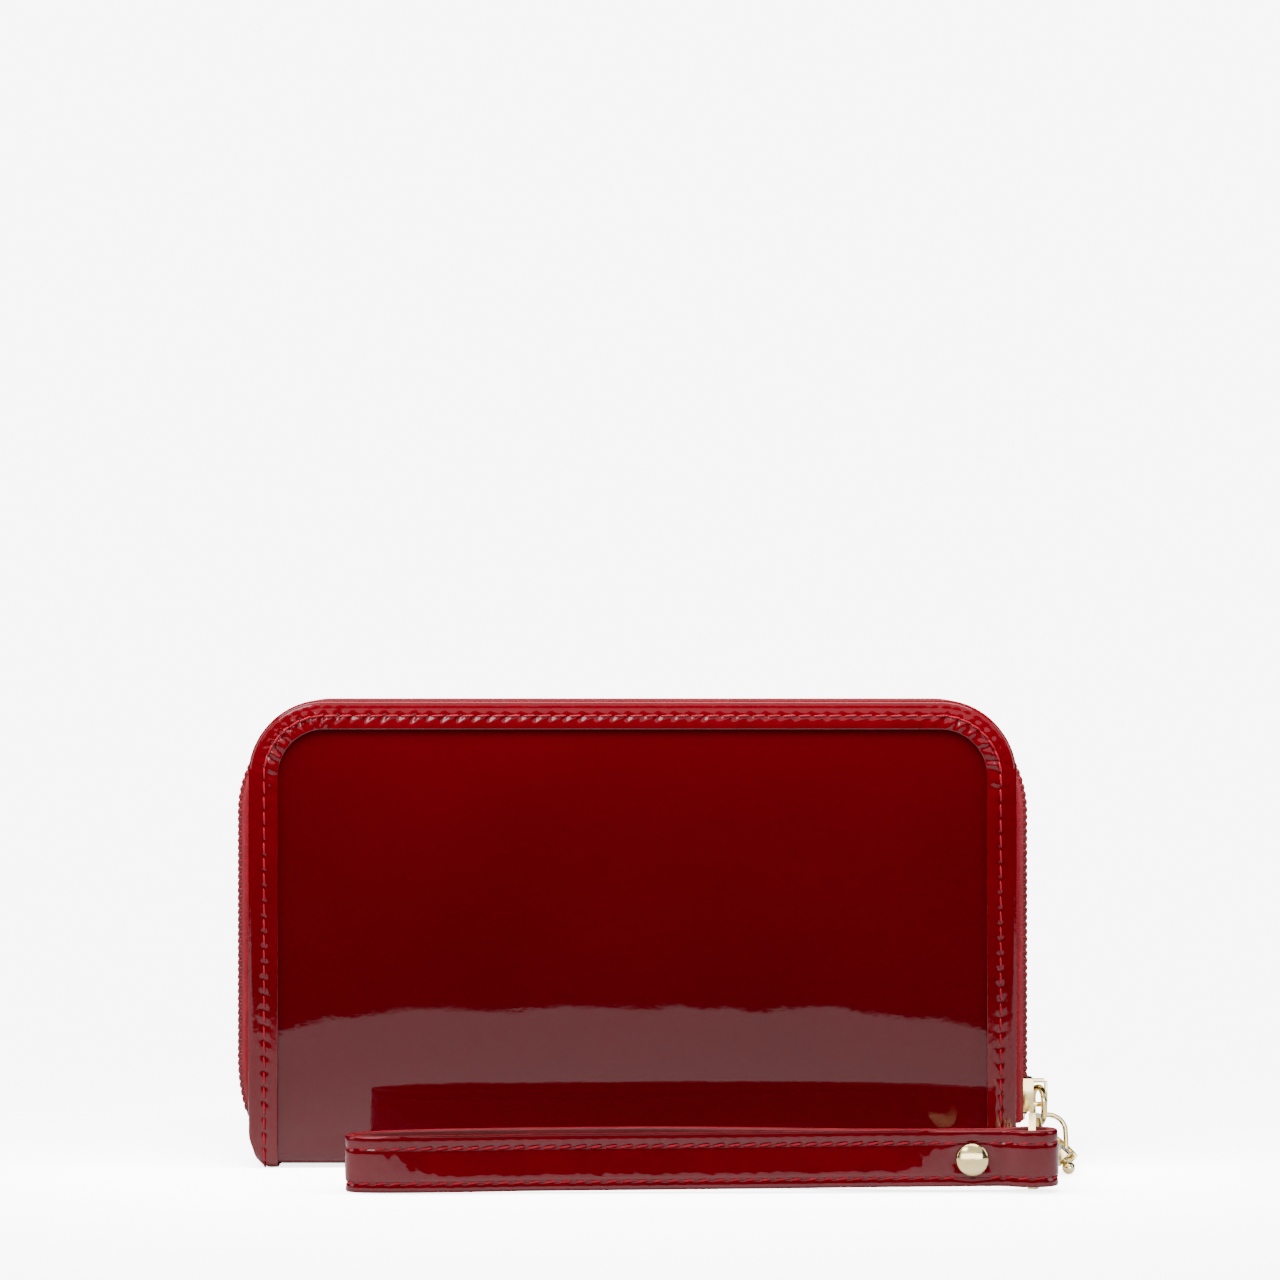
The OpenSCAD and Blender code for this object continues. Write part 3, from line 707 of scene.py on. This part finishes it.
        def place(u: Array, v: Array) -> Array:
            """Points of the surface at its UV places."""
            w = (2 * v - 1) * hl
            over = np.clip(np.abs(w) - (hl - r), 0, r)
            x = (2 * u - 1) * (hw - r + np.sqrt(np.maximum(r * r - over * over, 0)))
            return self.lay(x, w, self.panel_depth(x, w))

        obj = grid("leather_panels", 140, 190, place, (2 * hw, 2 * hl))
        apply(obj, "SOLIDIFY", thickness=0.7 * MM, offset=-1)
        return obj

    def stitches(self) -> Object:
        """The thread row round the border, one stitch at a time."""
        count = round(self.perimeter / self.pitch)
        step = self.perimeter / count

        def path(s: Array, offset: float, lift: float) -> Array:
            """Points along the row, shifted sideways and lifted."""
            x, w, nx, nw = self.outline(s)
            return self.lay(x + nx * offset, w + nw * offset, -lift)

        s = (np.arange(count) + 0.5) * step
        origins, axes = frames_of(path, s, self.row, -0.02, 4)
        base = bead((3.05, 0.5, 0.42), 8, 8, 0.8, 0.28)
        return scatter("border_stitches", base, origins, axes)

    def build(self) -> None:
        """Builds and dresses the outer leather."""
        fold = Place("wallet", "rear_cover")
        panel = self.panel()
        smooth(panel, 60)
        dress(panel, PATENT, fold, ["front_panel", "spine_panel", "rear_panel"])
        band = self.band()
        smooth(band, 70)
        dress(band, PATENT_TURNED, fold, ["front_border", "spine_bands", "rear_border"])
        dress(self.stitches(), THREAD, fold, ["front_stitching", "rear_stitching"])


# ---- Zip ----


@dataclass
class Zip:
    """The zip round the covers: woven tapes, nylon coils and end stops."""
    half_w: float = 91.4
    corner_r: float = 23.1
    corner_z: float = 83.5
    foot_z: float = 10.4
    bend_r: float = 43.0
    bend_a: float = 20.4
    bend_z: float = 25.0
    pitch: float = 1.7

    @property
    def legs(self) -> list[float]:
        """Lengths of the right side, corner, top, corner, left side and curl."""
        quarter = self.corner_r * math.pi / 2
        return [self.corner_z - self.foot_z, quarter, 2 * (self.half_w - self.corner_r), quarter,
                self.corner_z - self.bend_z, self.bend_r * math.radians(self.bend_a)]

    def line(self, s: Array, out: Array, y: Array) -> Array:
        """A point of the zip.

        Args:
            s: Distance from the right foot.
            out: Distance outwards from the tape's face.
            y: Depth through the wallet.

        Returns:
            The points, (n, 3).
        """
        s, out, y = np.broadcast_arrays(*(np.asarray(a, float) for a in (s, out, y)))
        hw, r, cz = self.half_w, self.corner_r, self.corner_z
        x, z, nx, nz = (np.zeros_like(s) for _ in range(4))
        begin = 0.0
        for i, length in enumerate(self.legs):
            last = i == len(self.legs) - 1
            on = (s >= begin if i else s > -1e9) & (s < begin + length if not last else s < 1e9)
            t = s[on] - begin
            if i == 0:
                x[on], z[on], nx[on] = hw, self.foot_z + t, 1
            elif i in (1, 3):
                a = t / r + (0 if i == 1 else math.pi / 2)
                cx = (hw - r) if i == 1 else r - hw
                x[on], z[on] = cx + r * np.cos(a), cz + r * np.sin(a)
                nx[on], nz[on] = np.cos(a), np.sin(a)
            elif i == 2:
                x[on], z[on], nz[on] = hw - r - t, cz + r, 1
            elif i == 4:
                x[on], z[on], nx[on] = -hw, cz - t, -1
            else:
                a = t / self.bend_r
                x[on] = self.bend_r - hw - self.bend_r * np.cos(a)
                z[on] = self.bend_z - self.bend_r * np.sin(a)
                nx[on], nz[on] = -np.cos(a), -np.sin(a)
            begin += length
        return np.stack([x + nx * out, y, z + nz * out], axis=-1)

    def tape(self, side: int) -> Object:
        """One tape: sewn inside the cover, round its edge and in to the coil."""
        # Distance outwards and distance from the middle plane
        section = [(-6.65, 10.85), (-2.5, 10.85), (-1.4, 10.8), (-.7, 10.6), (-.3, 10.2), (-.1, 9.6),
                   (.1, 8.6), (.4, 7.2), (.7, 5.8), (.98, 4.6), (1.15, 3.6), (1.15, 3.15),
                   (.3, 2.6), (.1, .65),
                   (-.4, .65), (.1, 3.4), (.1, 5.4), (-.45, 8.4), (-.75, 9.7), (-1, 10.2), (-1.6, 10.33),
                   (-6.65, 10.33), (-6.65, 10.85)]
        points = np.array(section, float)
        ring, total = len(section) - 1, sum(self.legs)

        def place(u: Array, v: Array) -> Array:
            """Points of the surface at its UV places."""
            k = np.rint(v * ring).astype(int)
            out, y = points[k].T
            s = u * total
            # The free part waves a little between the cover and the coil
            wave = 0.06 * ripple(s, 17, 41 + side) * bump_at(y, 7, 1.8)
            return self.line(s, out + wave, side * y)

        label = "front" if side < 0 else "rear"
        return grid(f"zip_tape_cloth_{label}", round(total / 1.2), ring, place, (total, 31), caps=True)

    def coil(self, side: int) -> Object:
        """One coil: rounded nylon loops set side by side along the tape."""
        start, end = 1.9, sum(self.legs) - 2.0
        count = int((end - start) / self.pitch)
        s = start + (np.arange(count) + (0.5 if side > 0 else 0)) * self.pitch

        def path(s: Array, offset: float, lift: float) -> Array:
            """Points along the row, shifted sideways and lifted."""
            return self.line(s, lift, offset * np.ones_like(s))

        origins, axes = frames_of(path, s, side * 1.78, 1.12, 0)
        # The loop lies across the tape, so its length is turned to the second axis
        turned = np.stack([axes[:, 1], -axes[:, 0], axes[:, 2]], axis=1)
        lean = math.radians(7 * side)
        across, along, up = turned[:, 0], turned[:, 1], turned[:, 2]
        turned = np.stack([across * math.cos(lean) + along * math.sin(lean),
                           along * math.cos(lean) - across * math.sin(lean), up], axis=1)
        base = bead((2.75, 1.66, 2.3), 10, 8, 0.5)
        label = "front" if side < 0 else "rear"
        return scatter(f"zip_coil_loops_{label}", base, origins, turned)

    def core(self, side: int) -> Object:
        """The chain of thread that holds the coil down, with the cord inside it."""
        section = [(0.05, .8), (1.6, .8), (1.95, 1.2), (1.95, 2.4), (1.6, 2.9), (.05, 3.0), (.05, .8)]
        points = np.array(section, float)
        ring, total = len(section) - 1, sum(self.legs)

        def place(u: Array, v: Array) -> Array:
            """Points of the surface at its UV places."""
            k = np.rint(v * ring).astype(int)
            out, y = points[k].T
            return self.line(1.8 + u * (total - 3.6), out, side * y)

        label = "front" if side < 0 else "rear"
        return grid(f"zip_cord_{label}", round(total / 1.5), ring, place, (total, 8), caps=True)

    def build(self) -> None:
        """Builds and dresses both halves of the zip and its stops."""
        for side, body, label in ((-1, "wallet", "front"), (1, "rear_cover", "rear")):
            tape = self.tape(side)
            smooth(tape, 60)
            dress(tape, TAPE, Place(body), [f"zip_tape_{label}"])
            dress(self.coil(side), NYLON, Place(body), [f"zip_coil_{label}"])
            cord = self.core(side)
            smooth(cord, 50)
            dress(cord, THREAD, Place(body))
            refined(f"zip_stops_{label}", f"zip_end_stops_{label}", GOLD, body, 0.3)


# ---- Hardware ----


class Hardware:
    """The slider, pull loop, link ring, snap hook and rivet, with their edges eased."""

    def build(self) -> None:
        """Builds each metal piece from its hard node."""
        rows = (("slider", "slider_body", GOLD, "slider", 0.28),
                ("puller", "pull_loop", GOLD, "puller", 0.3),
                ("clasp_claw", "snap_hook", GOLD, "clasp", 0.4),
                ("clasp_gate", "hook_gate", GOLD, "gate", 0.2),
                ("gate_pin", "hook_pin", GOLD, "clasp", 0.08),
                ("clasp_eye", "swivel_eye", GOLD, "clasp_eye", 0.38),
                ("rivet_cap", "rivet_dome", GOLD, "strap", 0.15),
                ("rivet_base", "rivet_back", GOLD, "strap", 0.15),
                ("coin_slider", "coin_slider_body", GOLD, "coin_slider", 0.15),
                ("coin_puller", "coin_pull_tab", GOLD, "coin_puller", 0.25),
                ("coin_zip_stops", "coin_end_stops", GOLD, "divider", 0.2),
                ("link_ring", "wire_ring", GOLD, "link_ring", 0.02),
                ("gate_spring", "hook_spring", STEEL, "clasp", 0.02))
        for node, name, finish, body, bevel in rows:
            refined(node, name, finish, body, bevel)


# ---- Strap ----


@dataclass
class Strap:
    """The wrist strap: two plies stood on edge in a long loop, sewn by two rows and riveted."""
    width: float = 12.7
    thickness: float = 2.2
    tilt: float = 0.5
    y: float = -53.6
    x0: float = -64.5
    x1: float = 95.9
    rivet_x: float = 76.5
    rivet_z: float = 6.1
    lean: float = 0.09
    pitch: float = 3.45
    far_w: float = 10.7
    near_w: float = 2.4
    nose_w: float = 3.9
    end_w: float = 3.9

    @property
    def pinch(self) -> float:
        """Half the distance between the two middle lines where the rivet holds them."""
        return self.thickness / 2 + 0.05

    def middle_line(self) -> Array:
        """The closed middle line seen from above, as points 0.2 mm or so apart."""
        a, b, p, e, n = (self.x0 + self.thickness / 2, self.x1 - self.thickness / 2, self.pinch,
                         self.end_w, self.nose_w)

        def right(w: float) -> list:
            """Curves of the right end for a limb at offset w."""
            return [[(-10, w), (25, w), (45, p), (70, p)], [(70, p), (75, p), (80, p), (82, p)],
                    [(82, p), (86, p), (86, e), (89.5, e)], [(89.5, e), (92.5, e), (b, 2.8), (b, 0)]]

        far = [[(a, 0), (a, 0.65 * self.far_w), (a + 12, self.far_w), (-10, self.far_w)]]
        near = [[(a, 0), (a, 0.85 * n), (a + 6, n), (a + 16, n)],
                [(a + 16, n), (a + 34, n), (-34, self.near_w), (-10, self.near_w)]]

        def trace(curves: list) -> Array:
            """Points along a chain of Bezier curves."""
            u = np.linspace(0, 1, 160, endpoint=False)[:, None]
            parts = [(1 - u) ** 3 * np.array(c[0]) + 3 * (1 - u) ** 2 * u * np.array(c[1])
                     + 3 * (1 - u) * u * u * np.array(c[2]) + u ** 3 * np.array(c[3]) for c in curves]
            return np.concatenate(parts + [np.array([[b, 0.0]])])

        up = trace(far + right(self.far_w))
        down = trace(near + right(self.near_w))
        down[:, 1] *= -1
        return np.concatenate([up, down[::-1][1:]])

    def __post_init__(self) -> None:
        """Measures the middle line once."""
        line = self.middle_line()
        steps = np.linalg.norm(np.diff(line, axis=0), axis=1)
        keep = np.concatenate([[True], steps > 1e-6])
        self.line = line[keep]
        self.run = np.concatenate([[0], np.cumsum(steps[steps > 1e-6])])
        self.length = float(self.run[-1])

    def at(self, s: Array, z: Array, out: Array) -> Array:
        """A point of the strap.

        Args:
            s: Distance along the middle line, from the left end, by the far side first.
            z: Height up the strap.
            out: Distance outwards from the middle line.

        Returns:
            The points, (n, 3).
        """
        s, z, out = np.broadcast_arrays(*(np.asarray(a, float) for a in (s, z, out)))

        def plan(s: Array) -> Array:
            """The middle line's point in plan at each distance."""
            s = np.mod(s, self.length)
            return np.stack([np.interp(s, self.run, self.line[:, i]) for i in (0, 1)], axis=-1)

        here = plan(s)
        ahead = plan(s + 0.35) - plan(s - 0.35)
        ahead /= np.linalg.norm(ahead, axis=-1, keepdims=True)
        x = here[..., 0] - ahead[..., 1] * out - self.x0
        y = here[..., 1] + ahead[..., 0] * out
        t = math.radians(self.tilt)
        return np.stack([self.x0 + x * math.cos(t) - z * math.sin(t), self.y + y,
                         x * math.sin(t) + z * math.cos(t)], axis=-1)

    def from_rivet(self, s: Array, z: Array) -> Array:
        """Distance over the face from the rivet, on either side."""
        x = np.interp(np.mod(s, self.length), self.run, self.line[:, 0])
        return np.hypot(x - self.rivet_x, z - self.rivet_z)

    def body(self) -> Object:
        """The plies as one skin: crowned outside, drawn in at the rows, with rounded edges."""
        # Distance outwards and height
        section = [(.55, 0), (.9, .08), (1.05, .3), (1.1, .7), (1.09, 1.2), (1.04, 1.6), (.97, 1.9),
                   (.93, 2.1), (.98, 2.3), (1.09, 2.5), (1.17, 2.75), (1.2, 3.2), (1.21, 5.1),
                   (1.21, 6.4), (1.21, 7.6), (1.2, 8.6), (1.18, 9.3), (1.12, 9.6), (1.05, 9.78),
                   (1.02, 9.9), (1.03, 10.03), (1.07, 10.3), (1.1, 10.9), (1.12, 11.5), (1.07, 12.2),
                   (.92, 12.58), (.6, 12.7), (0, 12.66), (-.6, 12.7), (-.95, 12.55), (-1.08, 12.2),
                   (-1.08, 9.9), (-1.08, 6.4), (-1.08, 2.1), (-1.08, .4), (-.92, .1), (-.55, 0),
                   (0, .04), (.55, 0)]
        points = np.array(section, float)
        ring, steps = len(section) - 1, round(self.length / 0.6)

        def place(u: Array, v: Array) -> Array:
            """Points of the surface at its UV places."""
            k = np.rint(v * ring).astype(int)
            out, z = points[k].T
            s = u * self.length
            outside = (k >= 2) & (k <= 25)
            phase = TAU * s / (self.length / round(self.length / self.pitch))
            holes = (0.5 + 0.5 * np.cos(phase)) * (bump_at(z, 2.1, .4) + bump_at(z, 9.9, .4))
            ridges = 0.05 * np.cos(phase + 0.4 * ripple(s, 21, 43)) * (
                bump_at(z, 3.1, .5) + bump_at(z, 8.9, .5) + .7 * bump_at(z, 11, .5)
                + .5 * bump_at(z, 1.2, .4))
            soft = 0.04 * ripple(s + 0.5 * z, 13, 47) + 0.015 * ripple(s - z, 4.5, 53)
            dimple = 0.55 * np.exp(-(self.from_rivet(s, z) / 4.5) ** 6)
            # Between its ends the gloss face leans back a little towards the top
            x = np.interp(np.mod(s, self.length), self.run, self.line[:, 0])
            flat = np.clip((x + 62) / 22, 0, 1) * np.clip((74 - x) / 16, 0, 1)
            back = self.lean * np.clip(z - 2.8, 0, 7.5) * flat * flat * (3 - 2 * flat)
            out = out - np.where(outside, 0.11 * holes + ridges + soft + dimple + back, 0)
            return self.at(s, z, out)

        return grid("strap_leather", steps, ring, place, (self.length, 31))

    def stitches(self) -> Object:
        """Both thread rows, on the gloss face, slanted."""
        count = round(self.length / self.pitch)
        s = (np.arange(count) + 0.5) * self.length / count

        def path(s: Array, offset: float, lift: float) -> Array:
            """Points along the row, shifted sideways and lifted."""
            return self.at(s, offset * np.ones_like(s), lift)

        origins, axes = [], []
        for z in (2.1, 9.9):
            clear = self.from_rivet(s, z * np.ones_like(s)) > 4.4
            o, a = frames_of(path, s[clear], z, 0.98, 9)
            origins.append(o)
            axes.append(a)
        return scatter("strap_stitches", bead((2.85, 0.52, 0.42), 8, 8, 0.8, 0.26),
                       np.concatenate(origins), np.concatenate(axes))

    def build(self) -> None:
        """Builds and dresses the strap."""
        strap = self.body()
        smooth(strap, 70)
        for finish in (PATENT_STRAP, EDGE_PAINT, POCKET):
            strap.data.materials.append(finish.make())
        normals = np.array([p.normal[:] for p in strap.data.polygons])
        across = np.array([loop.uv[1] for loop in strap.data.uv_layers.active.data]) / (31 * MM)
        share = np.array([across[list(p.loop_indices)].mean() for p in strap.data.polygons])
        # The inner ply's faces come late in the section, after the cut edge
        index = np.where(np.abs(normals[:, 2]) > 0.75, 1, np.where((share > 0.76) & (share < 0.95), 2, 0))
        strap.data.polygons.foreach_set("material_index", index.astype(np.int32))
        dress(strap, PATENT_STRAP, Place("strap"), ["strap_outer", "strap_lining"])
        dress(self.stitches(), THREAD, Place("strap"), ["strap_stitching"])


# ---- Inside ----


@dataclass
class Inside:
    """Linings, card pockets, the coin pocket with its own zip, and the side gussets."""
    thread_pitch: float = 3.2

    def leaf(self, node: str, name: str, finish: Finish, body: str, hem: float = 0.15,
             round_top: float = 0.0, seed: int = 1, tuck: float = 0.0) -> Object:
        """A thin sewn sheet in place of a flat node, with a rolled top edge.

        Args:
            node: The CAD node whose space it fills.
            name: The new piece's name.
            finish: Its finish.
            body: Its body.
            hem: How far the top hem stands proud.
            round_top: Radius of the top corners.
            seed: Which gentle unevenness it gets.
            tuck: How far it stops short of the node's sides, with the foot rounded.

        Returns:
            The new piece.
        """
        low, high = (np.array(c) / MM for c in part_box(node))
        (x0, y0, z0), (x1, y1, z1) = low, high
        x0, x1 = x0 + tuck, x1 - tuck
        t, mid = (y1 - y0) / 2 - 0.03, (y0 + y1) / 2
        # Height above the foot from both ends, and half thickness
        section = [(0, -1), (.25, -1), (.5, -1), (.75, -1), (.9, -1), (.96, -1), (.985, -1.2), (.995, -1),
                   (1, 0), (.995, 1), (.985, 1.2), (.96, 1), (.9, 1), (.75, 1), (.5, 1), (.25, 1), (0, 1),
                   (0, -1)]
        points = np.array(section, float)
        ring = len(section) - 1

        def place(u: Array, v: Array) -> Array:
            """Points of the surface at its UV places."""
            k = np.rint(v * ring).astype(int)
            up, side = points[k].T
            z = z0 + up * (z1 - z0)
            over = np.clip(z - (z1 - round_top), 0, round_top)
            narrow = round_top - np.sqrt(np.maximum(round_top ** 2 - over ** 2, 0))
            narrow = narrow + 0.12 * tuck * np.clip(9 - (z - z0), 0, 9) ** 2 / 9
            x = x0 + narrow + u * (x1 - x0 - 2 * narrow)
            wave = 0.025 * ripple(x + 3 * up, 40, seed) * up
            proud = np.where(np.abs(side) > 1.1, 1 + hem, np.abs(side))
            return np.stack([x, mid + np.sign(side) * t * proud + wave, z], axis=-1)

        obj = grid(name, 90, ring, place, (x1 - x0, 2 * (z1 - z0)), caps=True)
        smooth(obj, 50)
        dress(obj, finish, Place(body), [node])
        return obj

    def row(self, name: str, body: str, nodes: Sequence[str], facing: int) -> None:
        """Stitches under the top hem of each node, on the face towards the middle."""
        origins = []
        for node in nodes:
            low, high = (np.array(c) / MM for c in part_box(node))
            x = np.arange(low[0] + 2.5, high[0] - 2.5, self.thread_pitch)
            y = high[1] if facing > 0 else low[1]
            origins.append(np.stack([x, np.full_like(x, y), np.full_like(x, high[2] - 2.2)], axis=1))
        spots = np.concatenate(origins)
        axes = np.tile(np.array([[1, 0, 0], [0, 0, facing], [0, facing, 0]], float), (len(spots), 1, 1))
        dress(scatter(name, bead((2.6, 0.45, 0.3), 6, 6, 0.8, 0.12), spots, axes), THREAD, Place(body))

    def gusset(self, side: int) -> Object:
        """One pleated side wall, softly folded."""
        low, high = (np.array(c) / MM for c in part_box("gusset_right"))
        edge, fold, tuck = high[0] - 0.25, low[0] + 0.25, 81.2
        knots = np.array([(edge, -9.4), (edge - .5, -6.2), (fold + 6, -5.2), (fold, -4.9), (fold + 5, -4.4),
                          (tuck - 3, -3.5), (tuck, 0), (tuck - 3, 3.5), (fold + 5, 4.4), (fold, 4.9),
                          (fold + 6, 5.2), (edge - .5, 6.2), (edge, 9.4)])
        run = np.concatenate([[0], np.cumsum(np.linalg.norm(np.diff(knots, axis=0), axis=1))])

        def place(u: Array, v: Array) -> Array:
            """Points of the surface at its UV places."""
            s = u * run[-1]
            x, y = np.interp(s, run, knots[:, 0]), np.interp(s, run, knots[:, 1])
            z = low[2] + v * (high[2] - low[2])
            return np.stack([side * x, y, z + 0.0 * x], axis=-1)

        obj = grid("gusset_cloth_" + ("left" if side < 0 else "right"), 96, 30, place, (run[-1], 62))
        apply(obj, "SMOOTH", iterations=2, factor=0.5)
        apply(obj, "SOLIDIFY", thickness=0.4 * MM, offset=0)
        smooth(obj, 60)
        return obj

    def coin_zip(self) -> None:
        """The coin pocket's own zip: tapes and small coils."""
        # Too narrow to build as sheets
        refined("coin_zip_tapes", "coin_zip_tape_cloth", TAPE, "divider", 0.1)
        low, high = (np.array(c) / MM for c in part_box("coin_zip_coils"))
        pitch, spots = 1.3, []
        for side in (-1, 1):
            x = np.arange(low[0] + 0.7, high[0] - 0.5, pitch) + (pitch / 2 if side > 0 else 0)
            y = side * (high[1] + 0.4) / 2
            spots.append(np.stack([x, np.full_like(x, y), np.full_like(x, (low[2] + high[2]) / 2)], axis=1))
        spots = np.concatenate(spots)
        axes = np.tile(np.array([[0, 1, 0], [-1, 0, 0], [0, 0, 1]], float), (len(spots), 1, 1))
        base = bead((high[1] - 0.3, 1.15, high[2] - low[2]), 6, 6, 0.75)
        dress(scatter("coin_coil_loops", base, spots, axes), NYLON, Place("divider"), ["coin_zip_coils"])

    def build(self) -> None:
        """Builds and dresses all the inner pieces."""
        for label, body, facing in (("front", "wallet", 1), ("rear", "rear_cover", -1)):
            self.leaf(f"{label}_lining", f"lining_cloth_{label}", LINING, body, 0, 21, 61, 2.2)
            self.leaf(f"{label}_slip_pocket", f"slip_pocket_cloth_{label}", LINING, body, 0.2, 3, 62)
            for i in (1, 2, 3):
                self.leaf(f"{label}_card_pocket_{i}", f"card_pocket_leather_{label}_{i}", POCKET, body,
                          0.2, 1.5, 62 + i)
            nodes = [f"{label}_slip_pocket"] + [f"{label}_card_pocket_{i}" for i in (1, 2, 3)]
            self.row(f"pocket_stitches_{label}", body, nodes, facing)
            self.leaf(f"coin_wall_{label}", f"coin_wall_cloth_{label}", LINING, "divider", 0.1, 2, 70)
            frame["nodes"][f"{label}_board"].data.materials.clear()
            frame["nodes"][f"{label}_board"].data.materials.append(BOARD.make())
        for node, finish in (("spine_board", BOARD), ("coin_seam", POCKET)):
            frame["nodes"][node].data.materials.clear()
            frame["nodes"][node].data.materials.append(finish.make())
        spine = refined("spine_lining", "spine_lining_cloth", LINING, "wallet", 0.15)
        for side, label in ((-1, "left"), (1, "right")):
            obj = self.gusset(side)
            dress(obj, LINING, Place("wallet", "rear_cover", (0, -9.4 * MM, 0), (0, 9.4 * MM, 0)),
                  [f"gusset_{label}"])
        self.coin_zip()


# ---- Studio ----


# Strengths of the table, the room and each light, in Blender's own units
FLOOR_GLOW = 3.8
FLOOR_GAIN = 4.0
BACKDROP = 8.0
ROOM = 0.03
FRONT_POWER = 5.2
SIDE_POWER = 2.0
STRIP_POWER = 6.0
KEY_POWER = 2.4
BACK_POWER = 5.0
NEAR_POWER = 0.42
CARD_POWER = 14.0


@dataclass
class Studio:
    """A white table that ends in front of the wallet, soft boxes and a dim room."""
    eye: tuple[float, float, float] = (1.77, -1012.0, 124.0)
    lens: float = 119.78
    sensor: float = 36.0
    floor_front: float = -345.0
    floor_back: float = 900.0
    floor_half_w: float = 900.0

    def camera(self) -> None:
        """Level, at the viewing angle and distance of the product view."""
        data = bpy.data.cameras.new("camera")
        data.lens, data.sensor_width, data.clip_start = self.lens, self.sensor, 0.01
        camera = bpy.data.objects.new("camera", data)
        camera.location = Vector(self.eye) * MM
        camera.rotation_euler = (math.pi / 2, 0, 0)
        bpy.context.scene.collection.objects.link(camera)
        bpy.context.scene.camera = camera

    def floor(self) -> None:
        """The table's top."""
        def place(u: Array, v: Array) -> Array:
            """Points of the surface at its UV places."""
            return np.stack([(2 * u - 1) * self.floor_half_w,
                             self.floor_front + v * (self.floor_back - self.floor_front),
                             0 * u - 0.05], axis=-1)

        obj = grid("table_top", 4, 4, place)
        material = bpy.data.materials.new("white_table")
        material.use_nodes = True
        tree = material.node_tree
        shader = tree.nodes["Principled BSDF"]
        shader.inputs["Base Color"].default_value = linear("#F4F4F4")
        shader.inputs["Roughness"].default_value = 0.9
        shader.inputs["Specular IOR Level"].default_value = 0.0
        # The camera sees the table lit up to the backdrop's white
        path = add_node(tree, "LightPath")
        spot = add_node(tree, "TexCoord")
        away = add_node(tree, "VectorMath", {0: spot.outputs["Object"]}, operation="LENGTH")
        far = add_node(tree, "MapRange", {"Value": away.outputs["Value"]}, From_Min=0.12, From_Max=0.3)
        glow = add_node(tree, "Emission", Color=(1, 1, 1, 1), Strength=FLOOR_GLOW)
        bright = add_node(tree, "BsdfDiffuse", Color=(FLOOR_GAIN, FLOOR_GAIN, FLOOR_GAIN, 1))
        near = add_node(tree, "AddShader", {0: bright.outputs[0], 1: glow.outputs[0]})
        plain = add_node(tree, "Emission", Color=(1, 1, 1, 1), Strength=BACKDROP)
        both = add_node(tree, "MixShader", {0: far.outputs["Result"], 1: near.outputs[0],
                                            2: plain.outputs[0]})
        seen = add_node(tree, "MixShader", {0: path.outputs["Is Camera Ray"], 1: shader.outputs[0],
                                            2: both.outputs[0]})
        tree.links.new(seen.outputs[0], tree.nodes["Material Output"].inputs["Surface"])
        obj.data.materials.append(material)

    def light(self, name: str, at: tuple[float, float, float], to: tuple[float, float, float],
              size: tuple[float, float], power: float, mirrored: bool = True) -> Object:
        """A soft box.

        Args:
            name: Its name.
            at: Its middle, in millimetres.
            to: The point that it looks at.
            size: Its width and height, in millimetres.
            power: Its power in watts.
            mirrored: Whether gloss shows it.
        """
        data = bpy.data.lights.new(name, "AREA")
        data.shape, data.size, data.size_y, data.energy = "RECTANGLE", size[0] * MM, size[1] * MM, power
        lamp = bpy.data.objects.new(name, data)
        lamp.visible_glossy = mirrored
        lamp.visible_camera = False
        lamp.location = Vector(at) * MM
        lamp.rotation_euler = (Vector(at) - Vector(to)).to_track_quat("Z", "Y").to_euler()
        bpy.context.scene.collection.objects.link(lamp)
        return lamp

    def world(self) -> None:
        """A pale backdrop to the camera and a dim room to everything else."""
        world = bpy.data.worlds.new("studio")
        bpy.context.scene.world = world
        world.use_nodes = True
        tree = world.node_tree
        room = tree.nodes["Background"]
        room.inputs["Color"].default_value = (1, 1, 1, 1)
        room.inputs["Strength"].default_value = ROOM
        backdrop = add_node(tree, "Background", Color=(1, 1, 1, 1), Strength=BACKDROP)
        path = add_node(tree, "LightPath")
        seen = add_node(tree, "MixShader", {0: path.outputs["Is Camera Ray"], 1: room.outputs[0],
                                            2: backdrop.outputs[0]})
        tree.links.new(seen.outputs[0], tree.nodes["World Output"].inputs["Surface"])

    def build(self) -> None:
        """Sets up the camera, table, lights and room."""
        self.camera()
        self.floor()
        self.world()
        self.light("box_front", (0, -960, 782), (0, 0, 60), (2200, 730), FRONT_POWER)
        self.light("strip_high", (-120, -422, 855), (0, 0, 60), (1300, 220), STRIP_POWER)
        self.light("box_key", (-430, -800, 700), (0, 0, 60), (380, 240), KEY_POWER)
        self.light("box_back", (0, 760, 700), (0, 0, 60), (1400, 400), BACK_POWER)
        self.light("box_left", (-900, -250, 420), (0, -20, 60), (400, 600), SIDE_POWER)
        self.light("box_right", (900, -250, 420), (0, -20, 60), (400, 600), SIDE_POWER)
        # The near strip lights the colour under the film, most at the top, and isn't mirrored in it
        self.light("strip_near", (0, -30, 152), (0, -12, 95), (340, 24), NEAR_POWER, mirrored=False)
        # A white card held low in front is for the metal alone
        card = self.light("card_front", (60, -950, 130), (80, -40, 8), (1700, 420), CARD_POWER)
        metal = bpy.data.collections.new("metal")
        bpy.context.scene.collection.children.link(metal)
        plated = [o for o in bpy.data.objects
                  if any(m and m.name == GOLD.name for m in getattr(o.data, "materials", []) or [])]
        for obj in plated:
            metal.objects.link(obj)
        card.light_linking.receiver_collection = metal


def main() -> None:
    """Builds the studio and the wallet in order."""
    logging.basicConfig(level=logging.INFO, format="%(message)s")
    for part in (Outside(), Zip(), Hardware(), Strap(), Inside(), Studio()):
        LOG.info("building %s", type(part).__name__)
        part.build()


if __name__ == "__main__":
    main()
